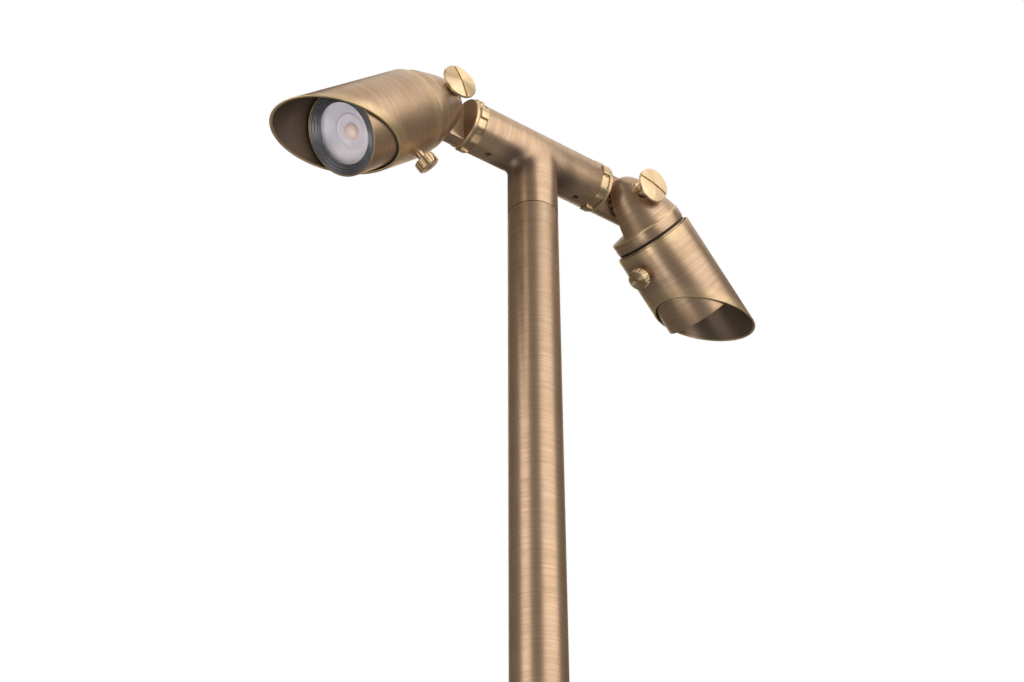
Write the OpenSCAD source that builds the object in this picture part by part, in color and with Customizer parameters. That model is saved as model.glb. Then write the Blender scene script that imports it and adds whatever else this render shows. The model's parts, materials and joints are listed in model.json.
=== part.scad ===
/* [Stem and fits] */
// Height of the cross tube's axis above the ground
light_h = 457; // [300:1:900]
// Outside diameter of the stem and of the tee
pipe_od = 25.4; // [25:0.1:27]
// Wall of the stem tube
stem_wall = 1.6; // [1.2:0.1:2]
// Diameter of the straight pipe thread in the tee and in the spike
thread_d = 21; // [20:0.1:21.2]
// Diameter of the wire bore through the threaded stubs
wire_bore_d = 10.5; // [8:0.1:11]
// Diameter of the hole that the two lamp wires take through a tilt joint
wire_d = 4.4; // [3.5:0.1:4.6]
// Radial clearance of threads and turning fits
run_gap = 0.05; // [0.02:0.01:0.08]
// Clearance between faces that move past each other
face_gap = 0.15; // [0.1:0.05:0.3]
// Clearance between pieces that only lie beside each other
part_gap = 0.3; // [0.2:0.05:0.4]

/* [Tee] */
// From the stem's axis to each end of the cross tube
tee_reach = 37.3; // [36:0.1:60]
// From the cross tube's axis to the lower end of the leg
tee_drop = 38.3; // [34:0.1:60]
// Radius of the blend where the leg meets the cross tube
crotch_r = 3; // [2:0.5:6]
// Diameter of the set screws under the cross tube
set_screw_d = 3; // [3:0.5:5]
// How deep the set screws lie below the tube's surface
set_screw_recess = 0.8; // [0.2:0.1:1.2]
// From each end of the cross tube to its set screw
set_screw_inset = 9; // [8:0.5:11]

/* [Knuckle] */
// Length of the threaded stubs inside the tee
stub_l = 15; // [13:0.5:16]
// Section of the rubber ring round the knuckle's stub
stub_seal_d = 1.8; // [1.4:0.1:2.2]
// From the end of the cross tube to the stub's rubber ring
stub_seal_inset = 3; // [2:0.5:4]
// Length of the lock ring
ring_t = 4.3; // [3:0.1:6]
// Diameter over the lock ring's lugs
ring_lug_d = 27.4; // [26.8:0.1:29]
// Diameter of the lock ring between its lugs
ring_floor_d = 24.6; // [23:0.1:25.4]
// Number of lugs round the lock ring
ring_lugs = 6; // [4:1:8]
// Angle that one lug takes up
lug_angle = 26; // [18:1:34]
// Diameter of the knuckle's flange
flange_d = 25.9; // [25:0.1:27]
// Thickness of the knuckle's flange
flange_t = 2.3; // [1.8:0.1:3]
// From the end of the cross tube to the tilt axis
hinge_reach = 24.7; // [24:0.1:30]
// Diameter of the round bar that the tongue is cut from
tongue_d = 25; // [24:0.1:25.4]
// Width of the tongue, and diameter of its rounded end
tongue_w = 24.4; // [23.6:0.1:24.8]
// How far the tongue's flat lies past its axis
tongue_flat = 1; // [0.5:0.1:1.5]
// Number of teeth round each half of the tilt joint
teeth = 20; // [12:1:24]
// Height of the teeth
tooth_h = 1.3; // [0.8:0.1:1.4]
// Clearance between the tips of the two rings of teeth, with the screw backed off
tooth_gap = 0.4; // [0.3:0.05:0.8]
// Inside diameter of the rings of teeth
teeth_id = 17; // [16.6:0.1:18]
// Outside diameter of the rings of teeth
teeth_od = 23; // [21:0.1:23.4]
// Depth of the round wire pocket inside each ring of teeth
pocket_h = 3; // [2:0.1:4]

/* [Tilt screw] */
// Diameter of the tilt screw's thread
tilt_screw_d = 6.35; // [5:0.05:6.5]
// Length of the tilt screw under its head
tilt_screw_l = 30; // [28:0.5:32]
// Diameter of the shoulder under the tilt screw's head
tilt_shoulder_d = 9; // [8:0.1:9.6]
// Length of the shoulder
tilt_shoulder_l = 6.3; // [6.2:0.1:7]
// Diameter of the tilt screw's head
tilt_head_d = 18.5; // [16:0.1:18.8]
// Height of the head's straight side
tilt_head_t = 1.5; // [1:0.1:2.5]
// Height of the head's crown
tilt_crown = 0.9; // [0.5:0.1:1.5]
// Width of the slot across the head
tilt_slot_w = 1.1; // [0.8:0.1:1.6]
// Depth of the slot at the middle of the head
tilt_slot_h = 1.3; // [1:0.1:1.4]
// Thickness of the washer under the shoulder
washer_t = 1.1; // [1:0.1:1.6]
// Outside diameter of the washer
washer_d = 10.6; // [9.8:0.1:11]

/* [Back cap] */
// How far the head's axis lies towards the tilt screw's head
head_offset = 3.2; // [2.8:0.1:3.4]
// Outside diameter of the cap's collar
collar_d = 40.2; // [39.8:0.1:41]
// From the tilt axis to the collar
collar_x = 16.6; // [16:0.1:20]
// Length of the collar
collar_l = 6.5; // [5.5:0.1:9]
// How far the dome reaches behind the tilt axis
cap_tail = 12.2; // [12:0.1:13]
// From the tilt axis to the step in front of the tongue
cap_step_x = 15.2; // [14.6:0.1:15.6]
// How much the step falls away towards the collar's edge
cap_step_fall = 1.6; // [0.8:0.1:2]
// From the tilt plane to the bottom of the screw's spot face
spot_y = 14; // [13.6:0.1:14.4]
// Diameter of the spot face
spot_d = 11.6; // [11.3:0.1:12]
// Length of the threaded spigot that carries the barrel
spigot_l = 9; // [6:0.5:10]
// Wall of the threaded spigot
spigot_wall = 2.8; // [2:0.1:4]

/* [Barrel] */
// Outside diameter of the barrel
barrel_od = 39.8; // [39.6:0.1:40]
// Wall of the barrel
barrel_wall = 1.25; // [1.1:0.05:1.4]
// From the tilt axis to the barrel's mouth
barrel_x = 73.2; // [72:0.1:90]
// How far the lip at the mouth turns in
lip_in = 0.7; // [0.4:0.1:1.2]
// Thickness of the lip at the mouth
lip_t = 0.6; // [0.6:0.1:1.6]
// Width of the bare edge round the mouth, outside the gasket's flange
rim_w = 0.8; // [0.7:0.1:1.2]
// Thickness of the gap that the seal fills between the collar and the barrel
cap_seal_t = 1.5; // [1.2:0.1:2]
// Depth of the grooves that hold the guide rings on the barrel
guide_groove = 0.45; // [0.3:0.05:0.6]
// From the barrel's rear edge to the first guide ring
guide_inset = 5.4; // [4:0.1:7]
// Distance between the two guide rings
guide_pitch = 14; // [10:0.5:18]

/* [Lamp] */
// Diameter of the window in front of the lamp
window_d = 29; // [24:0.5:30]
// Thickness of the gasket between the lip and the glass
gasket_t = 2; // [2:0.1:4]
// Thickness of the gasket's flange, which covers the lip from the front
gasket_flange_t = 0.4; // [0.3:0.1:0.8]
// Thickness of the glass
lens_t = 2.5; // [2:0.1:4]
// Diameter of the lamp
lamp_d = 35; // [33:0.5:36]
// Length of the lamp without its pins
lamp_l = 30; // [28:0.5:31]
// Distance between the lamp's pins
pin_pitch = 4; // [3.5:0.1:5]
// Diameter of the lamp's pins
pin_d = 0.95; // [0.7:0.05:1]
// Length of the lamp's pins
pin_l = 7; // [5:0.5:8]
// Depth of the lamp's reflector
optic_t = 3.2; // [2:0.1:5]
// Diameter of the light emitting chip
chip_d = 5.4; // [3:0.1:8]
// Diameter of the lamp socket
socket_d = 18; // [14:0.5:20]
// Length of the lamp socket
socket_l = 14; // [12:0.5:15]

/* [Glare guard] */
// Outside diameter of the guard
guard_od = 43.5; // [43.3:0.1:46]
// Wall of the guard
guard_wall = 1; // [0.8:0.05:1.1]
// From the guard's rear edge to the middle of its mouth
guard_l = 52.2; // [50:0.1:70]
// How far the slanted mouth rises and falls from its middle
mouth_rise = 23.6; // [12:0.1:25]
// From the guard's rear edge to its screw
guard_screw_inset = 11.4; // [9:0.1:12]
// Diameter of the guard screw's thread
guard_screw_d = 4; // [3:0.1:5]
// From the guard's wall to the knurled head
knob_gap = 3.5; // [0.5:0.1:5]
// Diameter of the knurled head
knob_d = 10.8; // [8:0.1:12]
// Height of the knurled head
knob_h = 4.8; // [3:0.1:7]
// Number of grooves round the knurled head
knob_grooves = 18; // [12:1:24]
// Width of the slot across the knurled head
knob_slot_w = 1.2; // [0.8:0.1:1.6]
// Depth of the slot across the knurled head
knob_slot_h = 1.8; // [1:0.1:2.4]

/* [Aim] */
// Turn of the left head about the cross tube
left_swivel = -3.1; // [-90:0.1:90]
// Turn of the right head about the cross tube
right_swivel = 9; // [-90:0.1:90]
// Fall of the left head below level
left_tilt = 42.2; // [-80:0.1:80]
// Fall of the right head below level
right_tilt = 39.8; // [-80:0.1:80]
// How far the left tilt screw is backed off
left_backed_off = 0.25; // [0.1:0.05:3]
// How far the right tilt screw is backed off
right_backed_off = 1.65; // [0.1:0.05:3]
// How far the left guard is pushed forward
left_guard_out = 0; // [-1:0.1:15]
// How far the right guard is pushed forward
right_guard_out = 0.6; // [-1:0.1:15]
// Roll of the left guard about its barrel
left_roll = -5.2; // [-90:0.1:90]
// Roll of the right guard about its barrel
right_roll = -3.3; // [-90:0.1:90]

/* [Ground spike] */
// Diameter of the flange that lies on the ground
ground_flange_d = 62; // [54:1:80]
// Thickness of the ground flange
ground_flange_t = 4; // [3:0.5:6]
// Diameter of the spike's hub
hub_d = 34; // [32:0.5:40]
// Height of the hub above the flange
hub_h = 10; // [6:0.5:14]
// Depth of the hub below the ground
hub_depth = 28; // [26:0.5:40]
// Length of the spike below the ground
spike_l = 205; // [150:1:260]
// Thickness of the spike's fins
fin_t = 4; // [3:0.5:6]
// Thickness of the foot between the stem and the hub
foot_t = 4; // [3:0.5:6]
// Diameter of the wire chamber inside the hub
chamber_d = 16; // [14:0.5:18]
// Diameter of the cable that the outlet takes
cable_d = 5.4; // [4:0.1:6]
// Wall of the rubber grommet in the cable outlet
grommet_wall = 1.8; // [1.2:0.1:2.2]
// Depth of the cable outlet's axis below the ground
outlet_depth = 15; // [13:0.5:17]

/* [Hidden] */
$fn = 72;

left = -1;
right = 1;
overrun = 1;
// Shape of the cap's dome, whose tip is blunt and whose side runs out towards the collar
dome_steps = 20;
dome_root = 2.6;
// Steps along and across the rounded corner under each arm of the tee, and its half angle
fillet_rows = 16;
fillet_steps = 4;
fillet_half = 84;
// Part of the space between two teeth that each tooth fills at the inside
tooth_share = 0.9;
// Half width and depth of a spike fin at its corners
fin_shares = [[0.87, 0], [0.71, 0.2], [0.1, 0.94], [0.02, 1]];
// How the lugs, slots and knobs stood when the light was last aimed
lug_turn_left = 32;
lug_turn_right = 20;
slot_turn_left = -72.4;
slot_turn_right = 26.6;
knob_turn_left = 92;
knob_turn_right = 45;

pipe_r = pipe_od / 2;
thread_r = thread_d / 2;
stub_r = thread_r - run_gap;
wire_bore_r = wire_bore_d / 2;
stem_bore_r = pipe_r - stem_wall;
stem_z = ground_flange_t + hub_h + foot_t;
stem_top_z = light_h - tee_drop;
hinge_x = tee_reach + hinge_reach;
flange_x = tee_reach + face_gap + ring_t + part_gap;
tongue_x = flange_x + flange_t;
tongue_r = tongue_d / 2;
cap_flat = tongue_flat + tooth_h + tooth_gap + tooth_h;
pocket_r = teeth_id / 2 - part_gap;
tilt_screw_r = tilt_screw_d / 2;
collar_r = collar_d / 2;
spigot_x = collar_x + collar_l;
barrel_rear_x = spigot_x + cap_seal_t;
barrel_r = barrel_od / 2;
barrel_bore_r = barrel_r - barrel_wall;
spigot_r = barrel_bore_r - run_gap;
cavity_r = spigot_r - spigot_wall;
guard_r = guard_od / 2;
guard_bore_r = guard_r - guard_wall;
guide_ring_d = guard_bore_r - barrel_r + guide_groove - 2 * run_gap;
lip_x = barrel_x - gasket_flange_t;
flange_seat_r = barrel_r - rim_w;
gasket_x = lip_x - lip_t - run_gap;
lens_x = gasket_x - gasket_t - run_gap;
optic_x = lens_x - lens_t - part_gap;
deck_x = optic_x - optic_t;
lamp_rear_x = optic_x - lamp_l;
socket_x = lamp_rear_x - part_gap;
cavity_x = socket_x - socket_l;
pad_y = hub_d / 2 + grommet_wall;
outlet_r = cable_d / 2 + grommet_wall;

function arc(cx, cy, r, a0, a1, n = 6) =
    [for (i = [0:n]) let (a = a0 + (a1 - a0) * i / n) [cx + r * cos(a), cy + r * sin(a)]];
function of_side(side, left_value, right_value) = side < 0 ? left_value : right_value;

// Places a left or right piece on the cross tube's axis, with +X outwards
module on_arm(side) translate([0, 0, light_h]) mirror([side < 0 ? 1 : 0, 0, 0]) children();
// Turns a piece with its knuckle
module on_knuckle(side)
    on_arm(side) rotate([of_side(side, left_swivel, right_swivel), 0, 0]) children();
// Places a piece at the tilt axis, with +X along the head
module on_tilt_axis(side)
    on_knuckle(side)
        translate([hinge_x, 0, 0])
            rotate([0, of_side(side, left_tilt, right_tilt), 0]) children();
// Moves a piece from the tilt axis onto the head's own axis
module on_head(side) on_tilt_axis(side) translate([0, -head_offset, 0]) children();
// Rolls a piece with its guard, and starts it at the guard's rear edge
module on_guard(side)
    on_head(side)
        translate([barrel_rear_x + of_side(side, left_guard_out, right_guard_out), 0, 0])
            rotate([of_side(side, left_roll, right_roll), 0, 0]) children();
// Lays the Z axis along +X
module along_x() rotate([0, 90, 0]) children();
// Lays the Z axis along -Y, towards the tilt screw's head
module along_screw() rotate([90, 0, 0]) children();
// Turns an outline of radius and distance round the X axis
module turned(points) along_x() rotate_extrude() polygon(points);
// A rubber ring of round section about the X axis
module rubber_ring(x, inner_r, d)
    translate([x, 0, 0])
        along_x() rotate_extrude() translate([inner_r + d / 2, 0]) circle(d = d, $fn = 24);
// A ring of radial teeth that stand up from z = 0
module tooth_ring() {
    tooth_w = teeth_id * sin(180 / teeth) * tooth_share;
    for (i = [0:teeth - 1])
        rotate([0, 0, 360 * i / teeth])
            translate([teeth_id / 2, 0, 0])
                rotate([90, 0, 90])
                    linear_extrude((teeth_od - teeth_id) / 2)
                        polygon([[-tooth_w / 2, 0], [tooth_w / 2, 0], [0, tooth_h]]);
}

module stem_tube() color([0.48, 0.38, 0.28])
    translate([0, 0, stem_z])
        difference() {
            cylinder(h = stem_top_z - stem_z, r = pipe_r);
            translate([0, 0, -overrun])
                cylinder(h = stem_top_z - stem_z + 2 * overrun, r = stem_bore_r);
        }

// Rounded corner between the leg and one arm, as a ball that rolls in the corner leaves it.
// It fades out where the two tubes are widest.
module crotch_fillet() {
    reach = pipe_r + crotch_r;
    row = fillet_steps + 2;
    points = [for (i = [0:fillet_rows])
        let (a = fillet_half * (2 * i / fillet_rows - 1), c = cos(a), s = sin(a),
            ball = reach * [c, s, -c])
        each [ball + 2 * crotch_r * [-c, -2 * s, c],
            for (k = [0:fillet_steps])
                let (t = k / fillet_steps, way = [-t * c, -s, (1 - t) * c],
                    sink = t == 0 || t == 1 ? run_gap : 0)
                ball + (crotch_r + sink) * way / norm(way)]];
    faces = [for (i = [0:fillet_rows - 1], k = [0:row - 1])
        let (p = i * row + k, q = i * row + (k + 1) % row)
        each [[p, q + row, q], [p, p + row, q + row]]];
    polyhedron(points, concat(faces, [[for (k = [0:row - 1]) k],
        [for (k = [row - 1:-1:0]) fillet_rows * row + k]]));
}

module tee_fitting() color([0.5, 0.4, 0.29])
    translate([0, 0, light_h])
        difference() {
            union() {
                translate([-tee_reach, 0, 0]) along_x() cylinder(h = 2 * tee_reach, r = pipe_r);
                translate([0, 0, -tee_drop]) cylinder(h = tee_drop, r = pipe_r);
                for (side = [left, right])
                    mirror([side < 0 ? 1 : 0, 0, 0]) crotch_fillet();
            }
            translate([-tee_reach - overrun, 0, 0])
                along_x() cylinder(h = 2 * (tee_reach + overrun), r = thread_r);
            translate([0, 0, -tee_drop - overrun])
                cylinder(h = tee_drop + overrun, r = thread_r);
            for (side = [left, right])
                translate([side * (tee_reach - set_screw_inset), 0, -pipe_r - overrun])
                    cylinder(h = pipe_r, r = set_screw_d / 2 + run_gap);
        }

// Headless screws with a hexagon socket, just below the tube's surface
module tee_set_screws() {
    screw_l = pipe_r - thread_r - run_gap - set_screw_recess;
    color([0.35, 0.33, 0.3])
    for (side = [left, right])
        translate([side * (tee_reach - set_screw_inset), 0, light_h - thread_r - run_gap - screw_l])
            difference() {
                cylinder(h = screw_l, r = set_screw_d / 2);
                translate([0, 0, -overrun])
                    cylinder(h = overrun + screw_l / 2, r = set_screw_d / 4, $fn = 6);
            }
}

// Coupling that screws into the tee's leg and is pressed into the stem
module stem_nipple() color([0.66, 0.52, 0.32])
    translate([0, 0, stem_top_z])
        difference() {
            union() {
                cylinder(h = stub_l, r = stub_r);
                translate([0, 0, -stub_l]) cylinder(h = stub_l, r = stem_bore_r - run_gap);
            }
            translate([0, 0, -stub_l - overrun])
                cylinder(h = 2 * (stub_l + overrun), r = wire_bore_r);
        }

// Foot that is pressed into the stem and screws into the spike
module stem_foot() {
    foot_r = pipe_r + foot_t / 2;
    plug_r = stem_bore_r - run_gap;
    edge = foot_t / 4;
    color([0.48, 0.38, 0.28])
    translate([0, 0, stem_z - foot_t])
        rotate_extrude()
            polygon([[wire_bore_r, -stub_l], [stub_r - edge, -stub_l], [stub_r, edge - stub_l],
                [stub_r, 0], [foot_r - edge, 0], [foot_r, edge], [foot_r, foot_t - edge],
                [foot_r - edge, foot_t], [plug_r, foot_t], [plug_r, foot_t + stub_l],
                [wire_bore_r, foot_t + stub_l]]);
}

// Spike with four fins, and a hub with the cable outlet on its side
module ground_spike() {
    fin_r = ground_flange_d / 2;
    half = [for (p = fin_shares) [fin_r * p[0], -spike_l * p[1]]];
    color([0.1, 0.1, 0.1])
    difference() {
        union() {
            translate([0, 0, -hub_depth])
                cylinder(h = hub_depth + ground_flange_t + hub_h, r = hub_d / 2);
            cylinder(h = ground_flange_t, r = ground_flange_d / 2);
            for (turn = [45, 135])
                rotate([90, 0, turn])
                    translate([0, 0, -fin_t / 2])
                        linear_extrude(fin_t)
                            polygon([each half,
                                for (i = [len(half) - 1:-1:0]) [-half[i][0], half[i][1]]]);
            translate([-outlet_r - grommet_wall, 0, -outlet_depth - outlet_r - grommet_wall])
                cube([2 * (outlet_r + grommet_wall), pad_y,
                    outlet_depth + outlet_r + grommet_wall]);
        }
        translate([0, 0, stem_z - foot_t - stub_l - part_gap])
            cylinder(h = stub_l + part_gap + overrun, r = thread_r);
        translate([0, 0, fin_t - hub_depth]) cylinder(h = hub_depth, r = chamber_d / 2);
        translate([0, pad_y + overrun, -outlet_depth])
            along_screw() cylinder(h = pad_y + overrun, r = outlet_r);
    }
}

module cable_grommet() {
    body_r = outlet_r - run_gap;
    rim_r = body_r + grommet_wall / 2;
    body_l = pad_y - chamber_d / 2 - part_gap;
    edge = grommet_wall / 3;
    color([0.06, 0.06, 0.06])
    translate([0, pad_y + grommet_wall, -outlet_depth])
        along_screw()
            rotate_extrude()
                polygon([[cable_d / 2, 0], [rim_r - edge, 0], [rim_r, edge],
                    [rim_r, grommet_wall], [body_r, grommet_wall],
                    [body_r, grommet_wall + body_l], [cable_d / 2, grommet_wall + body_l]]);
}

// Knuckle: threaded stub, flange, and a half-round tongue with a toothed face
module knuckle(side) {
    stub_x = tee_reach - stub_l;
    seal_x = tee_reach - stub_seal_inset;
    seal_half = stub_seal_d / 2;
    seal_floor = stub_r - stub_seal_d;
    flange_r = flange_d / 2;
    edge = flange_t / 3;
    wire_y = (wire_d + pocket_h) / 2 - tongue_flat;
    end_x = hinge_x - pocket_r + wire_d / 2;
    color([0.5, 0.4, 0.29])
    on_knuckle(side)
        difference() {
            union() {
                turned([[0, stub_x], [stub_r - edge, stub_x], [stub_r, stub_x + edge],
                    [stub_r, seal_x - seal_half], [seal_floor, seal_x - seal_half],
                    [seal_floor, seal_x + seal_half], [stub_r, seal_x + seal_half],
                    [stub_r, flange_x], [flange_r, flange_x],
                    each arc(flange_r - edge, tongue_x - edge, edge, 0, 90), [0, tongue_x]]);
                intersection() {
                    translate([flange_x + flange_t / 2, 0, 0])
                        along_x() cylinder(h = hinge_x, r = tongue_r);
                    union() {
                        translate([flange_x, -tongue_flat, -tongue_w / 2])
                            cube([hinge_x - flange_x, tongue_flat + tongue_r, tongue_w]);
                        translate([hinge_x, tongue_r, 0])
                            along_screw() cylinder(h = tongue_r + tongue_flat, r = tongue_w / 2);
                    }
                }
                translate([hinge_x, -tongue_flat, 0]) along_screw() tooth_ring();
            }
            translate([hinge_x, tongue_r + overrun, 0]) along_screw() {
                cylinder(h = tongue_d, r = tilt_screw_r + run_gap);
                translate([0, 0, tongue_r + overrun + tongue_flat - pocket_h])
                    cylinder(h = pocket_h + overrun, r = pocket_r);
            }
            translate([stub_x - overrun, 0, 0])
                along_x() cylinder(h = flange_x - stub_x + overrun, r = wire_bore_r);
            translate([flange_x - overrun, wire_y, 0])
                along_x() cylinder(h = end_x - flange_x + overrun, r = wire_d / 2);
        }
}

module knuckle_seal(side) color([0.05, 0.05, 0.05])
    on_knuckle(side)
        rubber_ring(tee_reach - stub_seal_inset, stub_r - stub_seal_d + run_gap,
            stub_seal_d - 2 * run_gap);

// Slotted ring nut that locks the knuckle against the tee
module lock_ring(side) {
    lug_r = ring_lug_d / 2;
    floor_r = ring_floor_d / 2;
    pitch = 360 / ring_lugs;
    first = of_side(side, lug_turn_left, lug_turn_right) + lug_angle / 2;
    edge = ring_t / 10;
    color([0.8, 0.62, 0.4])
    on_arm(side)
        translate([tee_reach + face_gap, 0, 0])
            difference() {
                turned([[thread_r, 0], [lug_r - edge, 0], [lug_r, edge], [lug_r, ring_t - edge],
                    [lug_r - edge, ring_t], [thread_r, ring_t]]);
                for (i = [0:ring_lugs - 1])
                    along_x()
                        rotate([0, 0, first + pitch * i])
                            translate([0, 0, -overrun])
                                rotate_extrude(angle = pitch - lug_angle)
                                    translate([floor_r, 0])
                                        square([lug_r - floor_r + overrun, ring_t + 2 * overrun]);
            }
}

// Wide-headed screw that holds the aim
module tilt_screw(side) {
    head_r = tilt_head_d / 2;
    edge = tilt_head_t / 5;
    backed_off = of_side(side, left_backed_off, right_backed_off);
    under = spot_y + washer_t + backed_off + tilt_shoulder_l;
    turn = of_side(side, slot_turn_left, slot_turn_right);
    ball_r = (head_r * head_r + tilt_crown * tilt_crown) / (2 * tilt_crown);
    rim_angle = acos(head_r / ball_r);
    color([0.85, 0.68, 0.44])
    on_tilt_axis(side)
        along_screw()
            translate([0, 0, under])
                difference() {
                    rotate_extrude()
                        polygon([[0, -tilt_screw_l], [tilt_screw_r - edge, -tilt_screw_l],
                            [tilt_screw_r, edge - tilt_screw_l],
                            [tilt_screw_r, -tilt_shoulder_l],
                            [tilt_shoulder_d / 2, -tilt_shoulder_l], [tilt_shoulder_d / 2, 0],
                            [head_r - edge, 0], [head_r, edge],
                            each arc(0, tilt_head_t + tilt_crown - ball_r, ball_r, rim_angle, 90)]);
                    rotate([0, 0, turn])
                        translate([-head_r - overrun, -tilt_slot_w / 2,
                            tilt_head_t + tilt_crown - tilt_slot_h])
                            cube([2 * (head_r + overrun), tilt_slot_w, tilt_slot_h + overrun]);
                }
}

module tilt_washer(side) color([0.8, 0.64, 0.42])
    on_tilt_axis(side)
        along_screw()
            translate([0, 0, spot_y])
                difference() {
                    cylinder(h = washer_t, r = washer_d / 2);
                    translate([0, 0, -overrun])
                        cylinder(h = washer_t + 2 * overrun, r = tilt_screw_r + part_gap);
                }

// Cast cap: a dome with a toothed flat for the knuckle, a collar and a threaded spigot
module back_cap(side) {
    dome_l = cap_tail + collar_x;
    flat_y = head_offset - cap_flat;
    wire_y = flat_y - (wire_d + pocket_h) / 2;
    edge = collar_l / 16;
    reach = collar_d;
    step_slope = cap_step_fall / (collar_r - tongue_r);
    color([0.52, 0.42, 0.31])
    on_head(side) {
        difference() {
            turned([
                for (i = [0:dome_steps]) let (t = pow(i / dome_steps, 2))
                    [(collar_r - edge) * pow(t, 1 / dome_root), dome_l * t - cap_tail],
                [collar_r, collar_x + edge], [collar_r, spigot_x - edge],
                [collar_r - edge, spigot_x], [spigot_r, spigot_x],
                [spigot_r, spigot_x + spigot_l], [0, spigot_x + spigot_l]]);
            intersection() {
                translate([-reach, flat_y, -reach]) cube([2 * reach, reach, 2 * reach]);
                turned([[0, -reach], [reach, -reach],
                    [reach, cap_step_x + step_slope * (reach - tongue_r)],
                    [tongue_r, cap_step_x], [0, cap_step_x]]);
            }
            translate([0, head_offset, 0]) along_screw() {
                cylinder(h = reach, r = tilt_screw_r + part_gap);
                translate([0, 0, spot_y]) cylinder(h = reach, r = spot_d / 2);
                translate([0, 0, cap_flat - overrun])
                    cylinder(h = pocket_h + overrun, r = pocket_r);
            }
            translate([cavity_x, 0, 0])
                along_x() cylinder(h = spigot_x + spigot_l - cavity_x + overrun, r = cavity_r);
            translate([pocket_r - wire_d / 2, wire_y, 0])
                along_x() cylinder(h = cavity_x - pocket_r + wire_d / 2 + overrun, r = wire_d / 2);
        }
        translate([0, flat_y, 0]) rotate([-90, 0, 0]) tooth_ring();
    }
}

module cap_seal(side) color([0.05, 0.05, 0.05])
    on_head(side)
        rubber_ring(spigot_x + cap_seal_t / 2, spigot_r + run_gap, cap_seal_t - 2 * run_gap);

// Tube with a lip at its mouth and two grooves for the guide rings
module barrel(side) {
    edge = barrel_wall / 4;
    lip_r = barrel_bore_r - lip_in;
    floor_r = barrel_r - guide_groove;
    half = guide_ring_d / 2 + run_gap;
    color([0.5, 0.41, 0.3])
    on_head(side)
        turned([[barrel_bore_r, barrel_rear_x], [barrel_r - edge, barrel_rear_x],
            [barrel_r, barrel_rear_x + edge],
            for (i = [0:1]) let (x = barrel_rear_x + guide_inset + guide_pitch * i)
                each [[barrel_r, x - half], [floor_r, x - half], [floor_r, x + half],
                    [barrel_r, x + half]],
            [barrel_r, barrel_x - edge], [barrel_r - edge, barrel_x], [flange_seat_r, barrel_x],
            [flange_seat_r, lip_x], [lip_r, lip_x], [lip_r, lip_x - lip_t],
            [barrel_bore_r, lip_x - lip_t]]);
}

module guide_rings(side) color([0.05, 0.05, 0.05])
    on_head(side)
        for (i = [0:1])
            rubber_ring(barrel_rear_x + guide_inset + guide_pitch * i,
                barrel_r - guide_groove + run_gap, guide_ring_d);

// Gasket that wraps the lip, with a flange in front that slopes in towards the window
module lens_gasket(side) {
    seat_r = barrel_bore_r - run_gap;
    neck_r = barrel_bore_r - lip_in - run_gap;
    cover_r = flange_seat_r - run_gap;
    rear_x = gasket_x - gasket_t;
    color([0.03, 0.03, 0.03])
    on_head(side)
        turned([[window_d / 2, rear_x], [seat_r, rear_x], [seat_r, gasket_x],
            [neck_r, gasket_x], [neck_r, lip_x + run_gap], [cover_r, lip_x + run_gap],
            [cover_r, barrel_x], [neck_r, barrel_x], [window_d / 2, barrel_x - gasket_t]]);
}

module lens(side) {
    edge = lens_t / 8;
    r = barrel_bore_r - part_gap;
    color([0.85, 0.9, 0.9, 0.5])
    on_head(side)
        turned([[0, lens_x - lens_t], [r - edge, lens_x - lens_t], [r, lens_x - lens_t + edge],
            [r, lens_x - edge], [r - edge, lens_x], [0, lens_x]]);
}

// Reflector ring that slopes in to the chip
module lamp_optic(side) {
    r = lamp_d / 2 - optic_t / 4;
    inner_r = chip_d / 2 + part_gap;
    steps = 4;
    color([0.9, 0.9, 0.88])
    on_head(side)
        turned([[inner_r, deck_x], [r, deck_x], [r, optic_x],
            for (i = [0:steps - 1]) let (t = i / steps)
                [inner_r + (r - optic_t / 6 - inner_r) * sqrt(1 - t), optic_x - optic_t * t]]);
}

module led_chip(side) color([0.95, 0.75, 0.5])
    on_head(side)
        translate([deck_x, 0, 0]) along_x() cylinder(h = optic_t / 6, r = chip_d / 2);

// Lamp body: a rim round the reflector, tapering to the base that carries the pins
module lamp_shell(side) {
    r = lamp_d / 2;
    rim_r = r - optic_t / 4 + run_gap;
    base_r = socket_d / 2;
    base_l = socket_l / 2;
    color([0.75, 0.75, 0.74])
    on_head(side)
        turned([[0, lamp_rear_x], [base_r, lamp_rear_x], [base_r, lamp_rear_x + base_l],
            [r, deck_x - optic_t], [r, optic_x], [rim_r, optic_x], [rim_r, deck_x], [0, deck_x]]);
}

module lamp_pins(side) color([0.85, 0.83, 0.78])
    on_head(side)
        for (end = [left, right])
            translate([lamp_rear_x - pin_l, 0, end * pin_pitch / 2])
                along_x() cylinder(h = pin_l, r = pin_d / 2);

// Ceramic socket that stands on the floor of the cap
module lamp_socket(side) {
    depth = pin_l + part_gap;
    edge = socket_d / 18;
    color([0.93, 0.92, 0.88])
    on_head(side)
        difference() {
            turned([[0, cavity_x], [socket_d / 2, cavity_x], [socket_d / 2, socket_x - edge],
                [socket_d / 2 - edge, socket_x], [0, socket_x]]);
            for (end = [left, right])
                translate([socket_x - depth, 0, end * pin_pitch / 2])
                    along_x() cylinder(h = depth + overrun, r = pin_d / 2 + run_gap);
        }
}

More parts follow.
